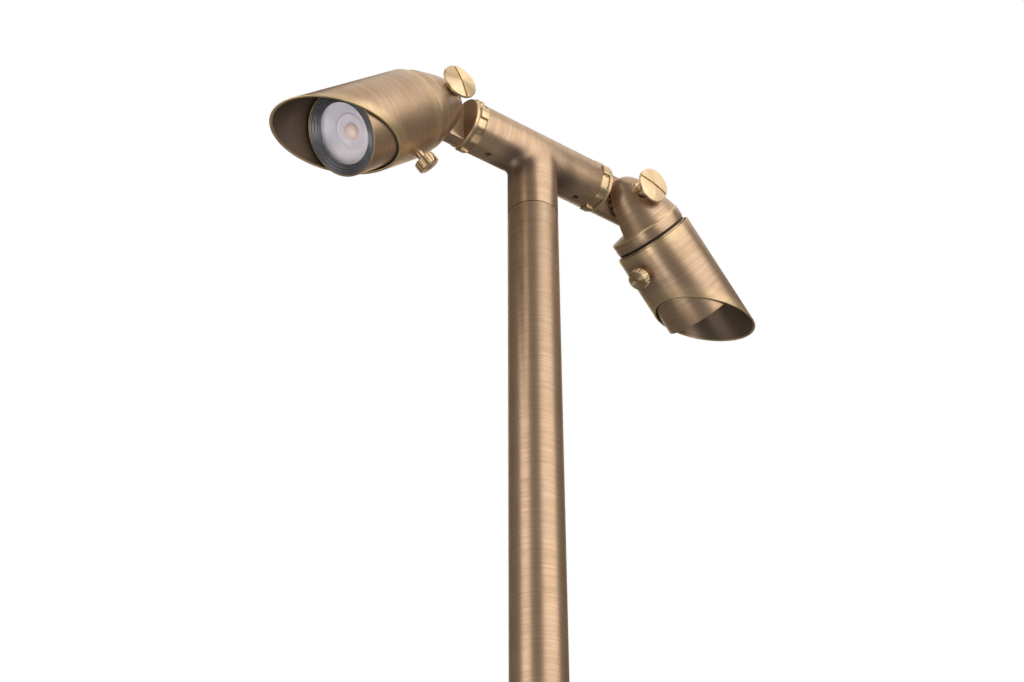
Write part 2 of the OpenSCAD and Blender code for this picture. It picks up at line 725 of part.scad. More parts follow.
// Tube with a slanted mouth and a hole for its screw on the short side
module glare_guard(side) {
    slant = atan(mouth_rise / guard_r);
    reach = guard_l + guard_od;
    color([0.45, 0.36, 0.26])
    on_guard(side)
        difference() {
            turned([[guard_bore_r, 0], [guard_r, 0], [guard_r, guard_l + mouth_rise + overrun],
                [guard_bore_r, guard_l + mouth_rise + overrun]]);
            translate([guard_l, 0, 0])
                rotate([0, slant, 0])
                    translate([0, -reach, -reach]) cube([reach, 2 * reach, 2 * reach]);
            translate([guard_screw_inset, 0, 0])
                rotate([180, 0, 0]) cylinder(h = guard_od, r = guard_screw_d / 2 + run_gap);
        }
}

// Knurled and slotted screw under the short side of the guard
module guard_screw(side) {
    r = knob_d / 2;
    edge = knob_h / 6;
    tip = guard_bore_r + run_gap;
    under = guard_r + knob_gap;
    groove_r = PI * knob_d / knob_grooves / 4;
    turn = of_side(side, knob_turn_left, knob_turn_right);
    color([0.85, 0.68, 0.44])
    on_guard(side)
        translate([guard_screw_inset, 0, 0])
            rotate([180, 0, 0])
                difference() {
                    rotate_extrude()
                        polygon([[0, tip], [guard_screw_d / 2, tip], [guard_screw_d / 2, under],
                            [r - edge, under], [r, under + edge], [r, under + knob_h - edge],
                            [r - edge, under + knob_h], [0, under + knob_h]]);
                    for (i = [0:knob_grooves - 1])
                        rotate([0, 0, 360 * i / knob_grooves])
                            translate([r, 0, under - overrun])
                                cylinder(h = knob_h + 2 * overrun, r = groove_r, $fn = 16);
                    rotate([0, 0, turn])
                        translate([-r - overrun, -knob_slot_w / 2, under + knob_h - knob_slot_h])
                            cube([2 * (r + overrun), knob_slot_w, knob_slot_h + overrun]);
                }
}

stem_tube();
tee_fitting();
tee_set_screws();
stem_nipple();
stem_foot();
ground_spike();
cable_grommet();
for (side = [left, right]) {
    name = of_side(side, "left_", "right_");
    knuckle(side);
    lock_ring(side);
    knuckle_seal(side);
    back_cap(side);
    tilt_screw(side);
    tilt_washer(side);
    cap_seal(side);
    barrel(side);
    guide_rings(side);
    lens_gasket(side);
    lens(side);
    lamp_optic(side);
    led_chip(side);
    lamp_shell(side);
    lamp_pins(side);
    lamp_socket(side);
    glare_guard(side);
    guard_screw(side);
}
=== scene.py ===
import json
import math

import bmesh
import bpy
from mathutils import Matrix, Vector

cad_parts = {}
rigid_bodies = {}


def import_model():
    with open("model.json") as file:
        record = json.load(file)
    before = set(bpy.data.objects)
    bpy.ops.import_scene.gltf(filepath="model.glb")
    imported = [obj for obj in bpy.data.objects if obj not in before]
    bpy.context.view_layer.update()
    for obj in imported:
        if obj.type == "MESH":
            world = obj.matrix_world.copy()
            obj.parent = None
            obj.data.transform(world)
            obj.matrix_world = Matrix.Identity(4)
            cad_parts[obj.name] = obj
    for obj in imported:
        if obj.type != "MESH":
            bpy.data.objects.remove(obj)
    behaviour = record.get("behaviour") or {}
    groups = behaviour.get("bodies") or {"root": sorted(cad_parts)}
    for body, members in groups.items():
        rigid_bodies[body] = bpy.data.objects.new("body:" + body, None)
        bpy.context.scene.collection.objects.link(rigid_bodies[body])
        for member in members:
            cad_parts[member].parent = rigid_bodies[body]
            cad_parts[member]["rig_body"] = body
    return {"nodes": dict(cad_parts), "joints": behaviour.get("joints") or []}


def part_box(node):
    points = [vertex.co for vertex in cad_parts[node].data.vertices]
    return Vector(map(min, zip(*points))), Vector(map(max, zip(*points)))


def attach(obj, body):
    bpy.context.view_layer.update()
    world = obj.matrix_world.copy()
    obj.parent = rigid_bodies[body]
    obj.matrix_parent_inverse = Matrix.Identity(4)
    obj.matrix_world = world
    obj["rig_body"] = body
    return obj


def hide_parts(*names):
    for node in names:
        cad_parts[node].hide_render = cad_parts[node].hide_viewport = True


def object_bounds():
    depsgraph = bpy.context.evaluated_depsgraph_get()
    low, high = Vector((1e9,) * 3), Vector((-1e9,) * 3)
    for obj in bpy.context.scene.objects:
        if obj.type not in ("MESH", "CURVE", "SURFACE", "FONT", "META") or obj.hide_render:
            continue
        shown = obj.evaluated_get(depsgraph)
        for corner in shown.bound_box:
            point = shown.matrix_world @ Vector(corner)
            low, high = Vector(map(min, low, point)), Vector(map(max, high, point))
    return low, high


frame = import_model()
cadLow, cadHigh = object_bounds()

mm = 0.001
scene = bpy.context.scene
sides = ("left", "right")
joints = {joint["name"]: joint for joint in frame["joints"]}


# Camera at the photograph's viewing angle, in the part's own frame
cameraFit = {
    "place": (-385.8, -485.7, -59.8),  # millimetres
    "yaw": 0.654,  # radians to the right of +Y
    "pitch": 0.577,  # radians above level
    "roll": -0.004,
    "focalPixels": 1555.2,
    "imageWidth": 1024,
    "sensorWidth": 36,
    "clip": (0.01, 60),
}


def placeCamera(fit):
    yaw, pitch, roll = fit["yaw"], fit["pitch"], fit["roll"]
    level = Vector((math.sin(yaw), math.cos(yaw), 0))
    forward = level * math.cos(pitch) + Vector((0, 0, math.sin(pitch)))
    levelRight = Vector((math.cos(yaw), -math.sin(yaw), 0))
    levelUp = levelRight.cross(forward)
    right = math.cos(roll) * levelRight + math.sin(roll) * levelUp
    up = math.cos(roll) * levelUp - math.sin(roll) * levelRight
    data = bpy.data.cameras.new("photoCamera")
    data.sensor_width = fit["sensorWidth"]
    data.lens = fit["sensorWidth"] * fit["focalPixels"] / fit["imageWidth"]
    data.clip_start, data.clip_end = fit["clip"]
    scene.camera = addObject("photoCamera", data)
    scene.camera.matrix_world = frameMatrix(Vector(fit["place"]) * mm, right, up)
    return forward, right


def addObject(name, data):
    made = bpy.data.objects.new(name, data)
    scene.collection.objects.link(made)
    return made


def frameMatrix(place, xAxis, yAxis, scale=1):
    xAxis, yAxis = Vector(xAxis).normalized(), Vector(yAxis).normalized()
    zAxis = xAxis.cross(yAxis).normalized()
    matrix = Matrix((xAxis, yAxis, zAxis)).transposed().to_4x4()
    return Matrix.Translation(Vector(place)) @ matrix @ Matrix.Scale(scale, 4)


viewForward, viewRight = placeCamera(cameraFit)
print("camera placed")


# Studio: a pale floor, a white world that metal sees as a dark room, and four soft boxes
studio = {
    "floorColour": (0.93, 0.93, 0.93),
    "floorRadius": 1.35,
    "floorGap": 0.002,
    "floorGlow": 0.7,  # share of the floor that the camera sees as plain white
    "ambient": 0.55,  # world light on matt surfaces
    "roomTint": (1.0, 0.88, 0.72),
    "backdropAngles": (18, 28),  # half angles of the white behind the part, as metal sees it
    "metalBackdrop": 0.145,  # the room as metal sees it, where a strength of 1 is white
    # turn to the right of the camera and height in degrees, distance and size in metres, brightness
    "boxes": {
        "rightBox": (50, 7, 1.6, 1.9, 2.3, 1.83),
        "leftBox": (-49, 14, 1.6, 1.0, 1.95, 1.8),
        "topBox": (92, 72, 1.6, 2.1, 1.6, 0.92),
        "lowBox": (-45, -57, 0.7, 0.42, 0.32, 2.6),
    },
}


def softBox(name, turn, height, distance, width, tall, brightness, target):
    back = Vector((-viewForward.x, -viewForward.y, 0)).normalized()
    side = Vector((viewRight.x, viewRight.y, 0)).normalized()
    turn, height = math.radians(turn), math.radians(height)
    away = (back * math.cos(turn) + side * math.sin(turn)) * math.cos(height)
    away += Vector((0, 0, math.sin(height)))
    data = bpy.data.lights.new(name, "AREA")
    data.shape = "RECTANGLE"
    data.size, data.size_y = width, tall
    data.energy = brightness * math.pi * width * tall
    light = addObject(name, data)
    light.location = target + away * distance
    light.rotation_mode = "QUATERNION"
    light.rotation_quaternion = (-away).to_track_quat("-Z", "Y")
    light.visible_camera = False


def feed(tree, node, inputs):
    # a value is a constant, a socket, or a node whose first output is meant
    for socket, value in inputs.items():
        if isinstance(value, bpy.types.Node):
            value = value.outputs[0]
        if isinstance(value, bpy.types.NodeSocket):
            tree.links.new(value, node.inputs[socket])
        else:
            node.inputs[socket].default_value = value


def addNode(tree, kind, inputs=None, **settings):
    node = tree.nodes.new(kind)
    for name, value in settings.items():
        setattr(node, name, value)
    feed(tree, node, inputs or {})
    return node


def emptyTree(owner):
    owner.use_nodes = True
    owner.node_tree.nodes.clear()
    return owner.node_tree, addNode(owner.node_tree, "ShaderNodeLightPath").outputs


def mathNode(tree, operation, first, second=0.0, clamp=False):
    return addNode(tree, "ShaderNodeMath", {0: first, 1: second},
                   operation=operation, use_clamp=clamp)


def product(tree, first, second, clamp=False):
    return mathNode(tree, "MULTIPLY", first, second, clamp)


def vectorNode(tree, operation, first, second=(0, 0, 0)):
    node = addNode(tree, "ShaderNodeVectorMath", {0: first, 1: second}, operation=operation)
    return node.outputs["Value" if operation in ("DOT_PRODUCT", "DISTANCE", "LENGTH") else "Vector"]


def mixValue(tree, factor, first, second):
    return addNode(tree, "ShaderNodeMix", {0: factor, 2: first, 3: second})


def mixVector(tree, factor, first, second):
    return addNode(tree, "ShaderNodeMix", {0: factor, 4: first, 5: second},
                   data_type="VECTOR").outputs[1]


def mixColour(tree, factor, first, second):
    return addNode(tree, "ShaderNodeMix", {0: factor, 6: first, 7: second},
                   data_type="RGBA").outputs[2]


def remap(tree, value, fromLow, fromHigh, toLow=0.0, toHigh=1.0):
    inputs = {"Value": value, "From Min": fromLow, "From Max": fromHigh,
              "To Min": toLow, "To Max": toHigh}
    return addNode(tree, "ShaderNodeMapRange", inputs, interpolation_type="SMOOTHSTEP")


def fadeOut(tree, distance, width, start):
    # 1 up to the start, a share of the width, and 0 from the width on
    return remap(tree, distance, start * width, width, 1.0, 0.0)


def noise(tree, vector, scale, detail, roughness=0.5):
    inputs = {"Vector": vector, "Scale": scale, "Detail": detail, "Roughness": roughness}
    return addNode(tree, "ShaderNodeTexNoise", inputs)


def objectPoint(tree):
    return addNode(tree, "ShaderNodeTexCoord").outputs["Object"]


def toLinear(colour):
    return (*[c / 12.92 if c <= 0.04045 else ((c + 0.055) / 1.055) ** 2.4 for c in colour], 1.0)


def makeWorld():
    scene.world = bpy.data.worlds.new("studioWorld")
    tree, rays = emptyTree(scene.world)
    seen = mathNode(tree, "ADD", rays["Is Camera Ray"], rays["Is Transmission Ray"], True)
    # metal sees the white backdrop behind the part, and a darker room in all other directions
    gaze = addNode(tree, "ShaderNodeTexCoord").outputs["Generated"]
    toward = vectorNode(tree, "DOT_PRODUCT", gaze, viewForward)
    inner, outer = [math.cos(math.radians(angle)) for angle in studio["backdropAngles"]]
    behind = remap(tree, toward, outer, inner, studio["metalBackdrop"], 1.0)
    gloss = mathNode(tree, "SUBTRACT", behind, studio["ambient"])
    gloss = product(tree, rays["Is Glossy Ray"], gloss)
    strength = mathNode(tree, "MAXIMUM", seen, mathNode(tree, "ADD", gloss, studio["ambient"]))
    tint = mixColour(tree, rays["Is Glossy Ray"], (1, 1, 1, 1), (*studio["roomTint"], 1))
    backdrop = addNode(tree, "ShaderNodeBackground", {"Color": tint, "Strength": strength})
    addNode(tree, "ShaderNodeOutputWorld", {"Surface": backdrop})


def makeFloor():
    shell = bmesh.new()
    bmesh.ops.create_circle(shell, cap_ends=True, segments=96, radius=studio["floorRadius"])
    floor = newObject("studioFloor", shell)
    floor.data.transform(Matrix.Translation((0, 0, cadLow.z - studio["floorGap"])))
    floor.data.materials.append(bpy.data.materials.new("paleFloor"))
    tree, rays = emptyTree(floor.data.materials[0])
    shade = product(tree, rays["Is Glossy Ray"], 1 - studio["metalBackdrop"])
    paintColour = mixColour(tree, shade, (*studio["floorColour"], 1), (0, 0, 0, 1))
    paint = addNode(tree, "ShaderNodeBsdfDiffuse", {"Color": paintColour})
    white = addNode(tree, "ShaderNodeEmission", {"Color": (1, 1, 1, 1), "Strength": 1.0})
    share = product(tree, rays["Is Camera Ray"], studio["floorGlow"])
    mixed = addNode(tree, "ShaderNodeMixShader",
                    {0: share, 1: paint, 2: white})
    addNode(tree, "ShaderNodeOutputMaterial", {"Surface": mixed})


def newObject(name, shell):
    mesh = bpy.data.meshes.new(name)
    shell.to_mesh(mesh)
    shell.free()
    return addObject(name, mesh)


scene.view_settings.view_transform = "Standard"
makeWorld()
makeFloor()
headHeight = Vector((0, 0, joints["left_tilt"]["pos_m"][2]))
for boxName, boxSpec in studio["boxes"].items():
    softBox(boxName, *boxSpec, target=headHeight)
print("studio lit")


# Node groups that several finishes share
grainSpec = {
    "lines": 4200.0, "streak": 40.0, "broadScale": 0.3, "roughness": 0.6,
    "fineShare": 0.55, "contrast": (0.3, 0.7),
}
wearSpec = {"radius": 0.0004, "reach": 0.06, "chipScale": 900.0, "chips": (0.3, 0.55, 0.35, 1.0)}
patinaSpec = {
    "scale": 60.0, "roughness": 0.62, "clouds": (0.35, 0.68), "speckScale": 22.0,
    "specks": (0.66, 0.74),
}


def addSocket(tree, name, kind="Float", way="INPUT"):
    return tree.interface.new_socket(name, in_out=way, socket_type="NodeSocket" + kind)


def newGroup(name, inputs, outputs):
    # a shader group with a Vector input, more inputs that are numbers, and numbers as outputs
    tree = bpy.data.node_groups.new(name, "ShaderNodeTree")
    addSocket(tree, "Vector", "Vector")
    for socket, value in inputs.items():
        addSocket(tree, socket).default_value = value
    for socket in outputs:
        addSocket(tree, socket, way="OUTPUT")
    return tree, tree.nodes.new("NodeGroupInput").outputs


def turnedGrainGroup(spec):
    # fine lines that run round the X axis, as a lathe and a brush leave them
    tree, given = newGroup(
        "turnedGrain", {"Lines": spec["lines"], "Streak": spec["streak"]}, ("Height", "Tone"))
    across = mathNode(tree, "DIVIDE", given["Lines"], given["Streak"])
    stretch = addNode(tree, "ShaderNodeCombineXYZ", {0: given["Lines"], 1: across, 2: across})
    stretched = vectorNode(tree, "MULTIPLY", given["Vector"], stretch)
    lines = noise(tree, stretched, 1.0, 3.0, spec["roughness"])
    bands = noise(tree, stretched, spec["broadScale"], 2.0, spec["roughness"])
    tone = mathNode(tree, "ADD", product(tree, lines, spec["fineShare"]),
                    product(tree, bands, 1 - spec["fineShare"]))
    tone = remap(tree, tone, *spec["contrast"])
    addNode(tree, "NodeGroupOutput", {"Height": lines, "Tone": tone})
    return tree


def edgeWearGroup(spec):
    # bright where a rounded normal leaves the true one, broken up by a little noise
    tree, given = newGroup(
        "edgeWear", {"Radius": spec["radius"], "Reach": spec["reach"]}, ("Mask",))
    rounded = addNode(tree, "ShaderNodeBevel", {"Radius": given["Radius"]}, samples=4)
    true = addNode(tree, "ShaderNodeNewGeometry").outputs["Normal"]
    turn = mathNode(tree, "SUBTRACT", 1.0, vectorNode(tree, "DOT_PRODUCT", rounded, true))
    edge = mathNode(tree, "DIVIDE", turn, given["Reach"], True)
    chips = remap(tree, noise(tree, given["Vector"], spec["chipScale"], 2.0), *spec["chips"])
    addNode(tree, "NodeGroupOutput", {"Mask": product(tree, edge, chips, True)})
    return tree


def patinaGroup(spec):
    # cloudy darkening and small dark specks in the brown finish
    tree, given = newGroup("patina", {"Scale": spec["scale"]}, ("Cloud", "Speck"))
    cloud = noise(tree, given["Vector"], given["Scale"], 5.0, spec["roughness"])
    finer = product(tree, given["Scale"], spec["speckScale"])
    speck = noise(tree, given["Vector"], finer, 1.0)
    addNode(tree, "NodeGroupOutput", {"Cloud": remap(tree, cloud, *spec["clouds"]),
                                      "Speck": remap(tree, speck, *spec["specks"])})
    return tree


groups = {"grain": turnedGrainGroup(grainSpec), "wear": edgeWearGroup(wearSpec),
          "patina": patinaGroup(patinaSpec)}


def useGroup(tree, name, **inputs):
    return addNode(tree, "ShaderNodeGroup", inputs, node_tree=groups[name]).outputs


def linearColours(finish):
    return {key: toLinear(colour) for key, colour in finish["colours"].items()}


def newMaterial(name, constants):
    material = bpy.data.materials.new(name)
    material.use_nodes = True
    shader = material.node_tree.nodes["Principled BSDF"]
    feed(material.node_tree, shader, constants)
    return material, material.node_tree, shader


def alignedCoordinates(tree, place, axis):
    # Object coordinates seen from a place, with X along an axis
    turn = Vector((1, 0, 0)).rotation_difference(Vector(axis)).to_euler()
    inputs = {"Vector": objectPoint(tree), "Location": Vector(place), "Rotation": turn}
    return addNode(tree, "ShaderNodeMapping", inputs, vector_type="TEXTURE")


def turnedPlace(tree, local):
    # distance along the X axis, and away from it
    parts = addNode(tree, "ShaderNodeSeparateXYZ", {0: local}).outputs
    flat = addNode(tree, "ShaderNodeCombineXYZ", {1: parts[1], 2: parts[2]})
    return parts[0], vectorNode(tree, "LENGTH", flat)


def brushAcross(tree, place, axis):
    # the way reflections stretch, at right angles to the turning marks that run round the axis
    point = addNode(tree, "ShaderNodeTexCoord").outputs
    arm = vectorNode(tree, "SUBTRACT", point["Object"], Vector(place))
    marks = vectorNode(tree, "CROSS_PRODUCT", Vector(axis), arm)
    across = vectorNode(tree, "CROSS_PRODUCT", point["Normal"], marks)
    return addNode(tree, "ShaderNodeVectorTransform", {0: vectorNode(tree, "NORMALIZE", across)},
                   vector_type="VECTOR", convert_from="OBJECT", convert_to="WORLD")


def hollowShadeMask(tree, centre, place, width):
    # 1 in the tee's hollow corners, where painted shade goes, falling to 0 at the width; the place,
    # seen from the tee's centre, lies in one quarter, and the others mirror it
    parts = addNode(tree, "ShaderNodeSeparateXYZ",
                    {0: vectorNode(tree, "SUBTRACT", objectPoint(tree), centre)}).outputs
    folded = addNode(tree, "ShaderNodeCombineXYZ",
                     {0: mathNode(tree, "ABSOLUTE", parts[0]),
                      1: mathNode(tree, "ABSOLUTE", parts[1]), 2: parts[2]})
    far = vectorNode(tree, "DISTANCE", folded, place)
    return fadeOut(tree, far, width, start=0.2)


def blendedNormal(tree, place, reach, radius):
    # softens a hollow corner around a place
    far = vectorNode(tree, "DISTANCE", objectPoint(tree), place)
    rounded = addNode(tree, "ShaderNodeBevel", {"Radius": radius}, samples=12)
    true = addNode(tree, "ShaderNodeNewGeometry").outputs["Normal"]
    mixed = mixVector(tree, fadeOut(tree, far, reach, start=0.75), true, rounded)
    return vectorNode(tree, "NORMALIZE", mixed)


def bumped(tree, height, strength, distance, normal=None):
    inputs = {"Strength": strength, "Distance": distance, "Height": height}
    if normal is not None:
        inputs["Normal"] = normal
    return addNode(tree, "ShaderNodeBump", inputs)


def nearPlane(tree, place, across, width):
    # 1 on a plane through a place, falling to 0 at the width on both sides of it
    arm = vectorNode(tree, "SUBTRACT", objectPoint(tree), place)
    far = vectorNode(tree, "DOT_PRODUCT", arm, Vector(across).normalized())
    return fadeOut(tree, mathNode(tree, "ABSOLUTE", far), width, start=0.3)


def nearestPlane(tree, mask, planes):
    for place, across, width, strength in planes:
        near = product(tree, nearPlane(tree, place, across, width), strength)
        mask = mathNode(tree, "MAXIMUM", mask, near)
    return mask


# Antique brown brass with a brushed grain round the piece's own axis
agedFinish = {
    "colours": {
        "base": (0.775, 0.655, 0.545),
        "dark": (0.665, 0.557, 0.455),
        "cloud": (0.66, 0.545, 0.42),
        # wornAndHighlight paints worn edges and faces, and the painted highlight on the cap's
        # crease
        "wornAndHighlight": (0.93, 0.82, 0.61),
        # inside is painted shade inside the guard's bore
        "inside": (0.48, 0.41, 0.34),
        # hollowShade is painted shade for the tee's hollow corners
        "hollowShade": (0.5, 0.42, 0.36),
        "seam": (0.24, 0.19, 0.14),
    },
    "patina": {"Cloud": 0.45, "Speck": 0.3},  # the most that each takes over
    "edges": 0.6,
    "uneven": (0.95, 0.6),  # wear in clear metal and in cloudy metal
    "boreShadeFade": 0.2,  # millimetres
    "metal": 0.88,
    "rough": (0.42, 0.30),
    "stretch": 0.25,
    "bump": (0.08, 0.00003),  # strength and depth
}


def agedBrass(name, grains, rims=(), zones=(), seams=(), inner=0, corner=None, finish=agedFinish):
    # grains lists (place, axis) pairs; rims, zones and seams are worn edges, worn outer faces and
    # dark lines, as planes (place, normal, width, strength), and a rim can be a painted highlight
    # instead, as on the cap's crease; within the inner radius the metal is darkened with painted
    # shade; corner is for the tee, with a second grain on its leg, softer hollows and painted shade
    # in them
    tones = linearColours(finish)
    material, tree, shader = newMaterial(
        name, {"Metallic": finish["metal"], "Anisotropic": finish["stretch"]})
    local = [alignedCoordinates(tree, place, axis) for place, axis in grains]
    grain = [useGroup(tree, "grain", Vector=vector) for vector in local]
    brushed = [brushAcross(tree, place, axis) for place, axis in grains]
    tone, height, tangent, normal = grain[0]["Tone"], grain[0]["Height"], brushed[0], None
    if corner:
        along = turnedPlace(tree, local[1])[0]
        share = remap(tree, along, *corner["legBlend"], 1.0, 0.0)
        tone = mixValue(tree, share, tone, grain[1]["Tone"])
        height = mixValue(tree, share, height, grain[1]["Height"])
        tangent = mixVector(tree, share, *brushed)
        normal = blendedNormal(tree, *corner["blend"])
    patina = useGroup(tree, "patina", Vector=local[0])
    uneven = remap(tree, patina["Cloud"], 0.0, 1.0, *finish["uneven"])
    edges = useGroup(tree, "wear", Vector=local[0])["Mask"]
    # worn edges, and rims that carry a painted highlight, as on the cap's crease
    wear = nearestPlane(tree, product(tree, edges, finish["edges"]), rims)
    colour = mixColour(tree, tone, tones["dark"], tones["base"])
    for output, most in finish["patina"].items():
        spread = product(tree, patina[output], most)
        colour = mixColour(tree, spread, colour, tones["cloud"])
    if zones:
        rubbed = product(tree, nearestPlane(tree, 0.0, zones), uneven)
        colour = mixColour(tree, rubbed, colour, tones["wornAndHighlight"])
    if corner:
        # painted shade: the tee's hollow corners are darkened
        colour = mixColour(tree, hollowShadeMask(tree, *corner["hollowShade"]), colour, tones["hollowShade"])
    # painted shade: within the inner radius, as in the guard's bore, the metal is darkened
    if inner:
        radius = turnedPlace(tree, local[0])[1]
        low, high = (inner - finish["boreShadeFade"]) * mm, (inner + finish["boreShadeFade"]) * mm
        colour = mixColour(tree, remap(tree, radius, low, high, 1.0, 0.0), colour, tones["inside"])
    colour = mixColour(tree, product(tree, wear, uneven), colour, tones["wornAndHighlight"])
    if seams:
        colour = mixColour(tree, nearestPlane(tree, 0.0, seams), colour, tones["seam"])
    feed(tree, shader, {
        "Base Color": colour, "Roughness": remap(tree, tone, 0.0, 1.0, *finish["rough"]),
        "Tangent": tangent, "Normal": bumped(tree, height, *finish["bump"], normal)})
    return material


# Raw machined brass, with turning marks round the axis of the screw or ring
brightFinish = {
    "colours": {
        "base": (0.97, 0.88, 0.73),
        "deep": (0.91, 0.79, 0.61),
        "tarnish": (0.84, 0.70, 0.51),
    },
    "tarnished": 0.2,  # the most that tarnish takes over
    "edgeRadius": 0.0003,
    "rough": (0.34, 0.42),
    "stretch": 0.97,
    "marks": 1800.0,
    "bump": (0.02, 0.00002),  # strength and depth
}


def brightBrass(name, place, axis, finish=brightFinish):
    tones = linearColours(finish)
    material, tree, shader = newMaterial(name, {"Metallic": 1.0, "Anisotropic": finish["stretch"]})
    local = alignedCoordinates(tree, place, axis)
    depth = mathNode(tree, "ADD", *turnedPlace(tree, local))
    marks = addNode(tree, "ShaderNodeTexNoise",
                    {"W": depth, "Scale": finish["marks"], "Detail": 2.0},
                    noise_dimensions="1D")
    cloud = useGroup(tree, "patina", Vector=local)["Cloud"]
    wear = useGroup(tree, "wear", Vector=local, Radius=finish["edgeRadius"])["Mask"]
    colour = mixColour(tree, marks, tones["deep"], tones["base"])
    dulled = product(tree, cloud, finish["tarnished"])
    colour = mixColour(tree, dulled, colour, tones["tarnish"])
    colour = mixColour(tree, wear, colour, tones["base"])
    feed(tree, shader, {
        "Base Color": colour, "Roughness": remap(tree, cloud, 0.0, 1.0, *finish["rough"]),
        "Tangent": brushAcross(tree, place, axis), "Normal": bumped(tree, marks, *finish["bump"])})
    return material


# Plain substances with a fine moulded or cast grain: two colours, roughness, scale of the grain,
# strength and depth of the bump, and constants of the shader
substances = {
    "blackRubber": ((0.055, 0.053, 0.05), (0.085, 0.08, 0.075), 0.45, 2600, 0.12, 0.00004, {}),
    "glossyRubber": ((0.15, 0.15, 0.16), (0.31, 0.31, 0.33), 0.14, 600, 0.6, 0.00015,
                     {"Coat Weight": 1.0, "Coat Roughness": 0.06, "IOR": 2.0}),
    "blackPlastic": ((0.12, 0.12, 0.12), (0.17, 0.165, 0.16), 0.5, 1800, 0.3, 0.00008, {}),
    "dullSteel": ((0.56, 0.54, 0.52), (0.42, 0.40, 0.38), 0.3, 2400, 0.2, 0.00003,
                  {"Metallic": 1.0}),
    "satinAluminium": ((0.80, 0.80, 0.80), (0.70, 0.70, 0.71), 0.32, 2400, 0.1, 0.00002,
                       {"Metallic": 1.0}),
    "platedPin": ((0.84, 0.80, 0.72), (0.74, 0.70, 0.62), 0.25, 3000, 0.1, 0.00002,
                  {"Metallic": 1.0}),
    "glazedCeramic": ((0.91, 0.90, 0.86), (0.86, 0.85, 0.80), 0.3, 900, 0.1, 0.00004, {}),
    "clearGlass": ((0.97, 0.985, 0.99), (0.94, 0.965, 0.98), 0.03, 700, 0.02, 0.00001,
                   {"Transmission Weight": 1.0, "IOR": 1.47}),
    "lampReflector": ((0.94, 0.89, 0.91), (0.88, 0.83, 0.85), 0.16, 240, 0.08, 0.00005,
                      {"IOR": 1.6, "Coat Weight": 0.6, "Coat Roughness": 0.05}),
    "ledPhosphor": ((0.99, 0.80, 0.68), (0.97, 0.72, 0.56), 0.35, 2600, 0.3, 0.00005, {}),
    "ledSilicone": ((0.98, 0.87, 0.82), (0.96, 0.81, 0.74), 0.12, 500, 0.05, 0.00002,
                    {"Coat Weight": 1.0, "Coat Roughness": 0.05}),
}
castGrain = {"broad": 15, "contrast": (0.3, 0.7), "roughSpread": 0.2}


def grainedMaterial(name, base, other, roughness, scale, bump, depth, constants):
    material, tree, shader = newMaterial(name, constants)
    fine = noise(tree, objectPoint(tree), scale, 4.0)
    broad = noise(tree, objectPoint(tree), scale / castGrain["broad"], 3.0)
    share = remap(tree, broad, *castGrain["contrast"])
    spread = roughness * castGrain["roughSpread"]
    rough = remap(tree, fine, *castGrain["contrast"], roughness - spread, roughness + spread)
    feed(tree, shader, {
        "Base Color": mixColour(tree, share, toLinear(base), toLinear(other)),
        "Roughness": rough, "Normal": bumped(tree, fine, bump, depth)})
    return material


def letLightThrough(material):
    # lets the lamps' light reach what lies behind the glass
    tree = material.node_tree
    rays = addNode(tree, "ShaderNodeLightPath").outputs
    clear = addNode(tree, "ShaderNodeBsdfTransparent", {"Color": (0.96, 0.96, 0.97, 1)})
    share = mathNode(tree, "MAXIMUM", rays["Is Shadow Ray"], rays["Is Diffuse Ray"])
    mixed = addNode(tree, "ShaderNodeMixShader",
                    {0: share, 1: tree.nodes["Principled BSDF"], 2: clear})
    feed(tree, tree.nodes["Material Output"], {"Surface": mixed})


plain = {name: grainedMaterial(name, *values) for name, values in substances.items()}
letLightThrough(plain["clearGlass"])
print("finishes mixed")


# Frames of the joints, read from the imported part
def jointPlace(name):
    return Vector(joints[name]["pos_m"])


def jointAxis(name):
    return Vector(joints[name]["axis"])


def turnedFrame(place, axis, reference):
    # Z along the axis, X along the part of the reference that is square to it, in millimetres
    axis = Vector(axis).normalized()
    xAxis = (Vector(reference) - axis * Vector(reference).dot(axis)).normalized()
    return frameMatrix(place, xAxis, axis.cross(xAxis), mm)


def headGeometry(side):
    along = jointAxis(side + "_barrel_turn")
    screw = jointAxis(side + "_tilt_screw_turn")
    hinge = jointPlace(side + "_tilt")
    onAxis = jointPlace(side + "_barrel_turn")
    start = onAxis - along * (onAxis - hinge).dot(along)
    upward = screw.cross(along)
    if upward.z < 0:
        upward.negate()
    down = jointAxis(side + "_guard_screw_turn")
    return {"along": along, "screw": screw, "hinge": hinge, "start": start, "up": upward,
            "down": down, "axis": (start, along), "frame": turnedFrame(start, along, upward),
            "guardFrame": turnedFrame(start, along, -down)}


heads = {side: headGeometry(side) for side in sides}


# Turned shapes: an outline of (distance along the axis, radius, corner radius) in millimetres
def roundCorners(outline, arcSteps=4, most=0.45):
    # no arc takes more than the given share of a side
    points = []
    count = len(outline)
    for index, (x, r, corner) in enumerate(outline):
        here = Vector((x, r))
        if corner <= 0:
            points.append(here)
            continue
        before = Vector(outline[index - 1][:2]) - here
        after = Vector(outline[(index + 1) % count][:2]) - here
        reach = min(corner / math.tan(before.angle(after) / 2),
                    most * before.length, most * after.length)
        first, last = here + before.normalized() * reach, here + after.normalized() * reach
        for step in range(arcSteps + 1):
            t = step / arcSteps
            points.append((1 - t) ** 2 * first + 2 * t * (1 - t) * here + t * t * last)
    return points


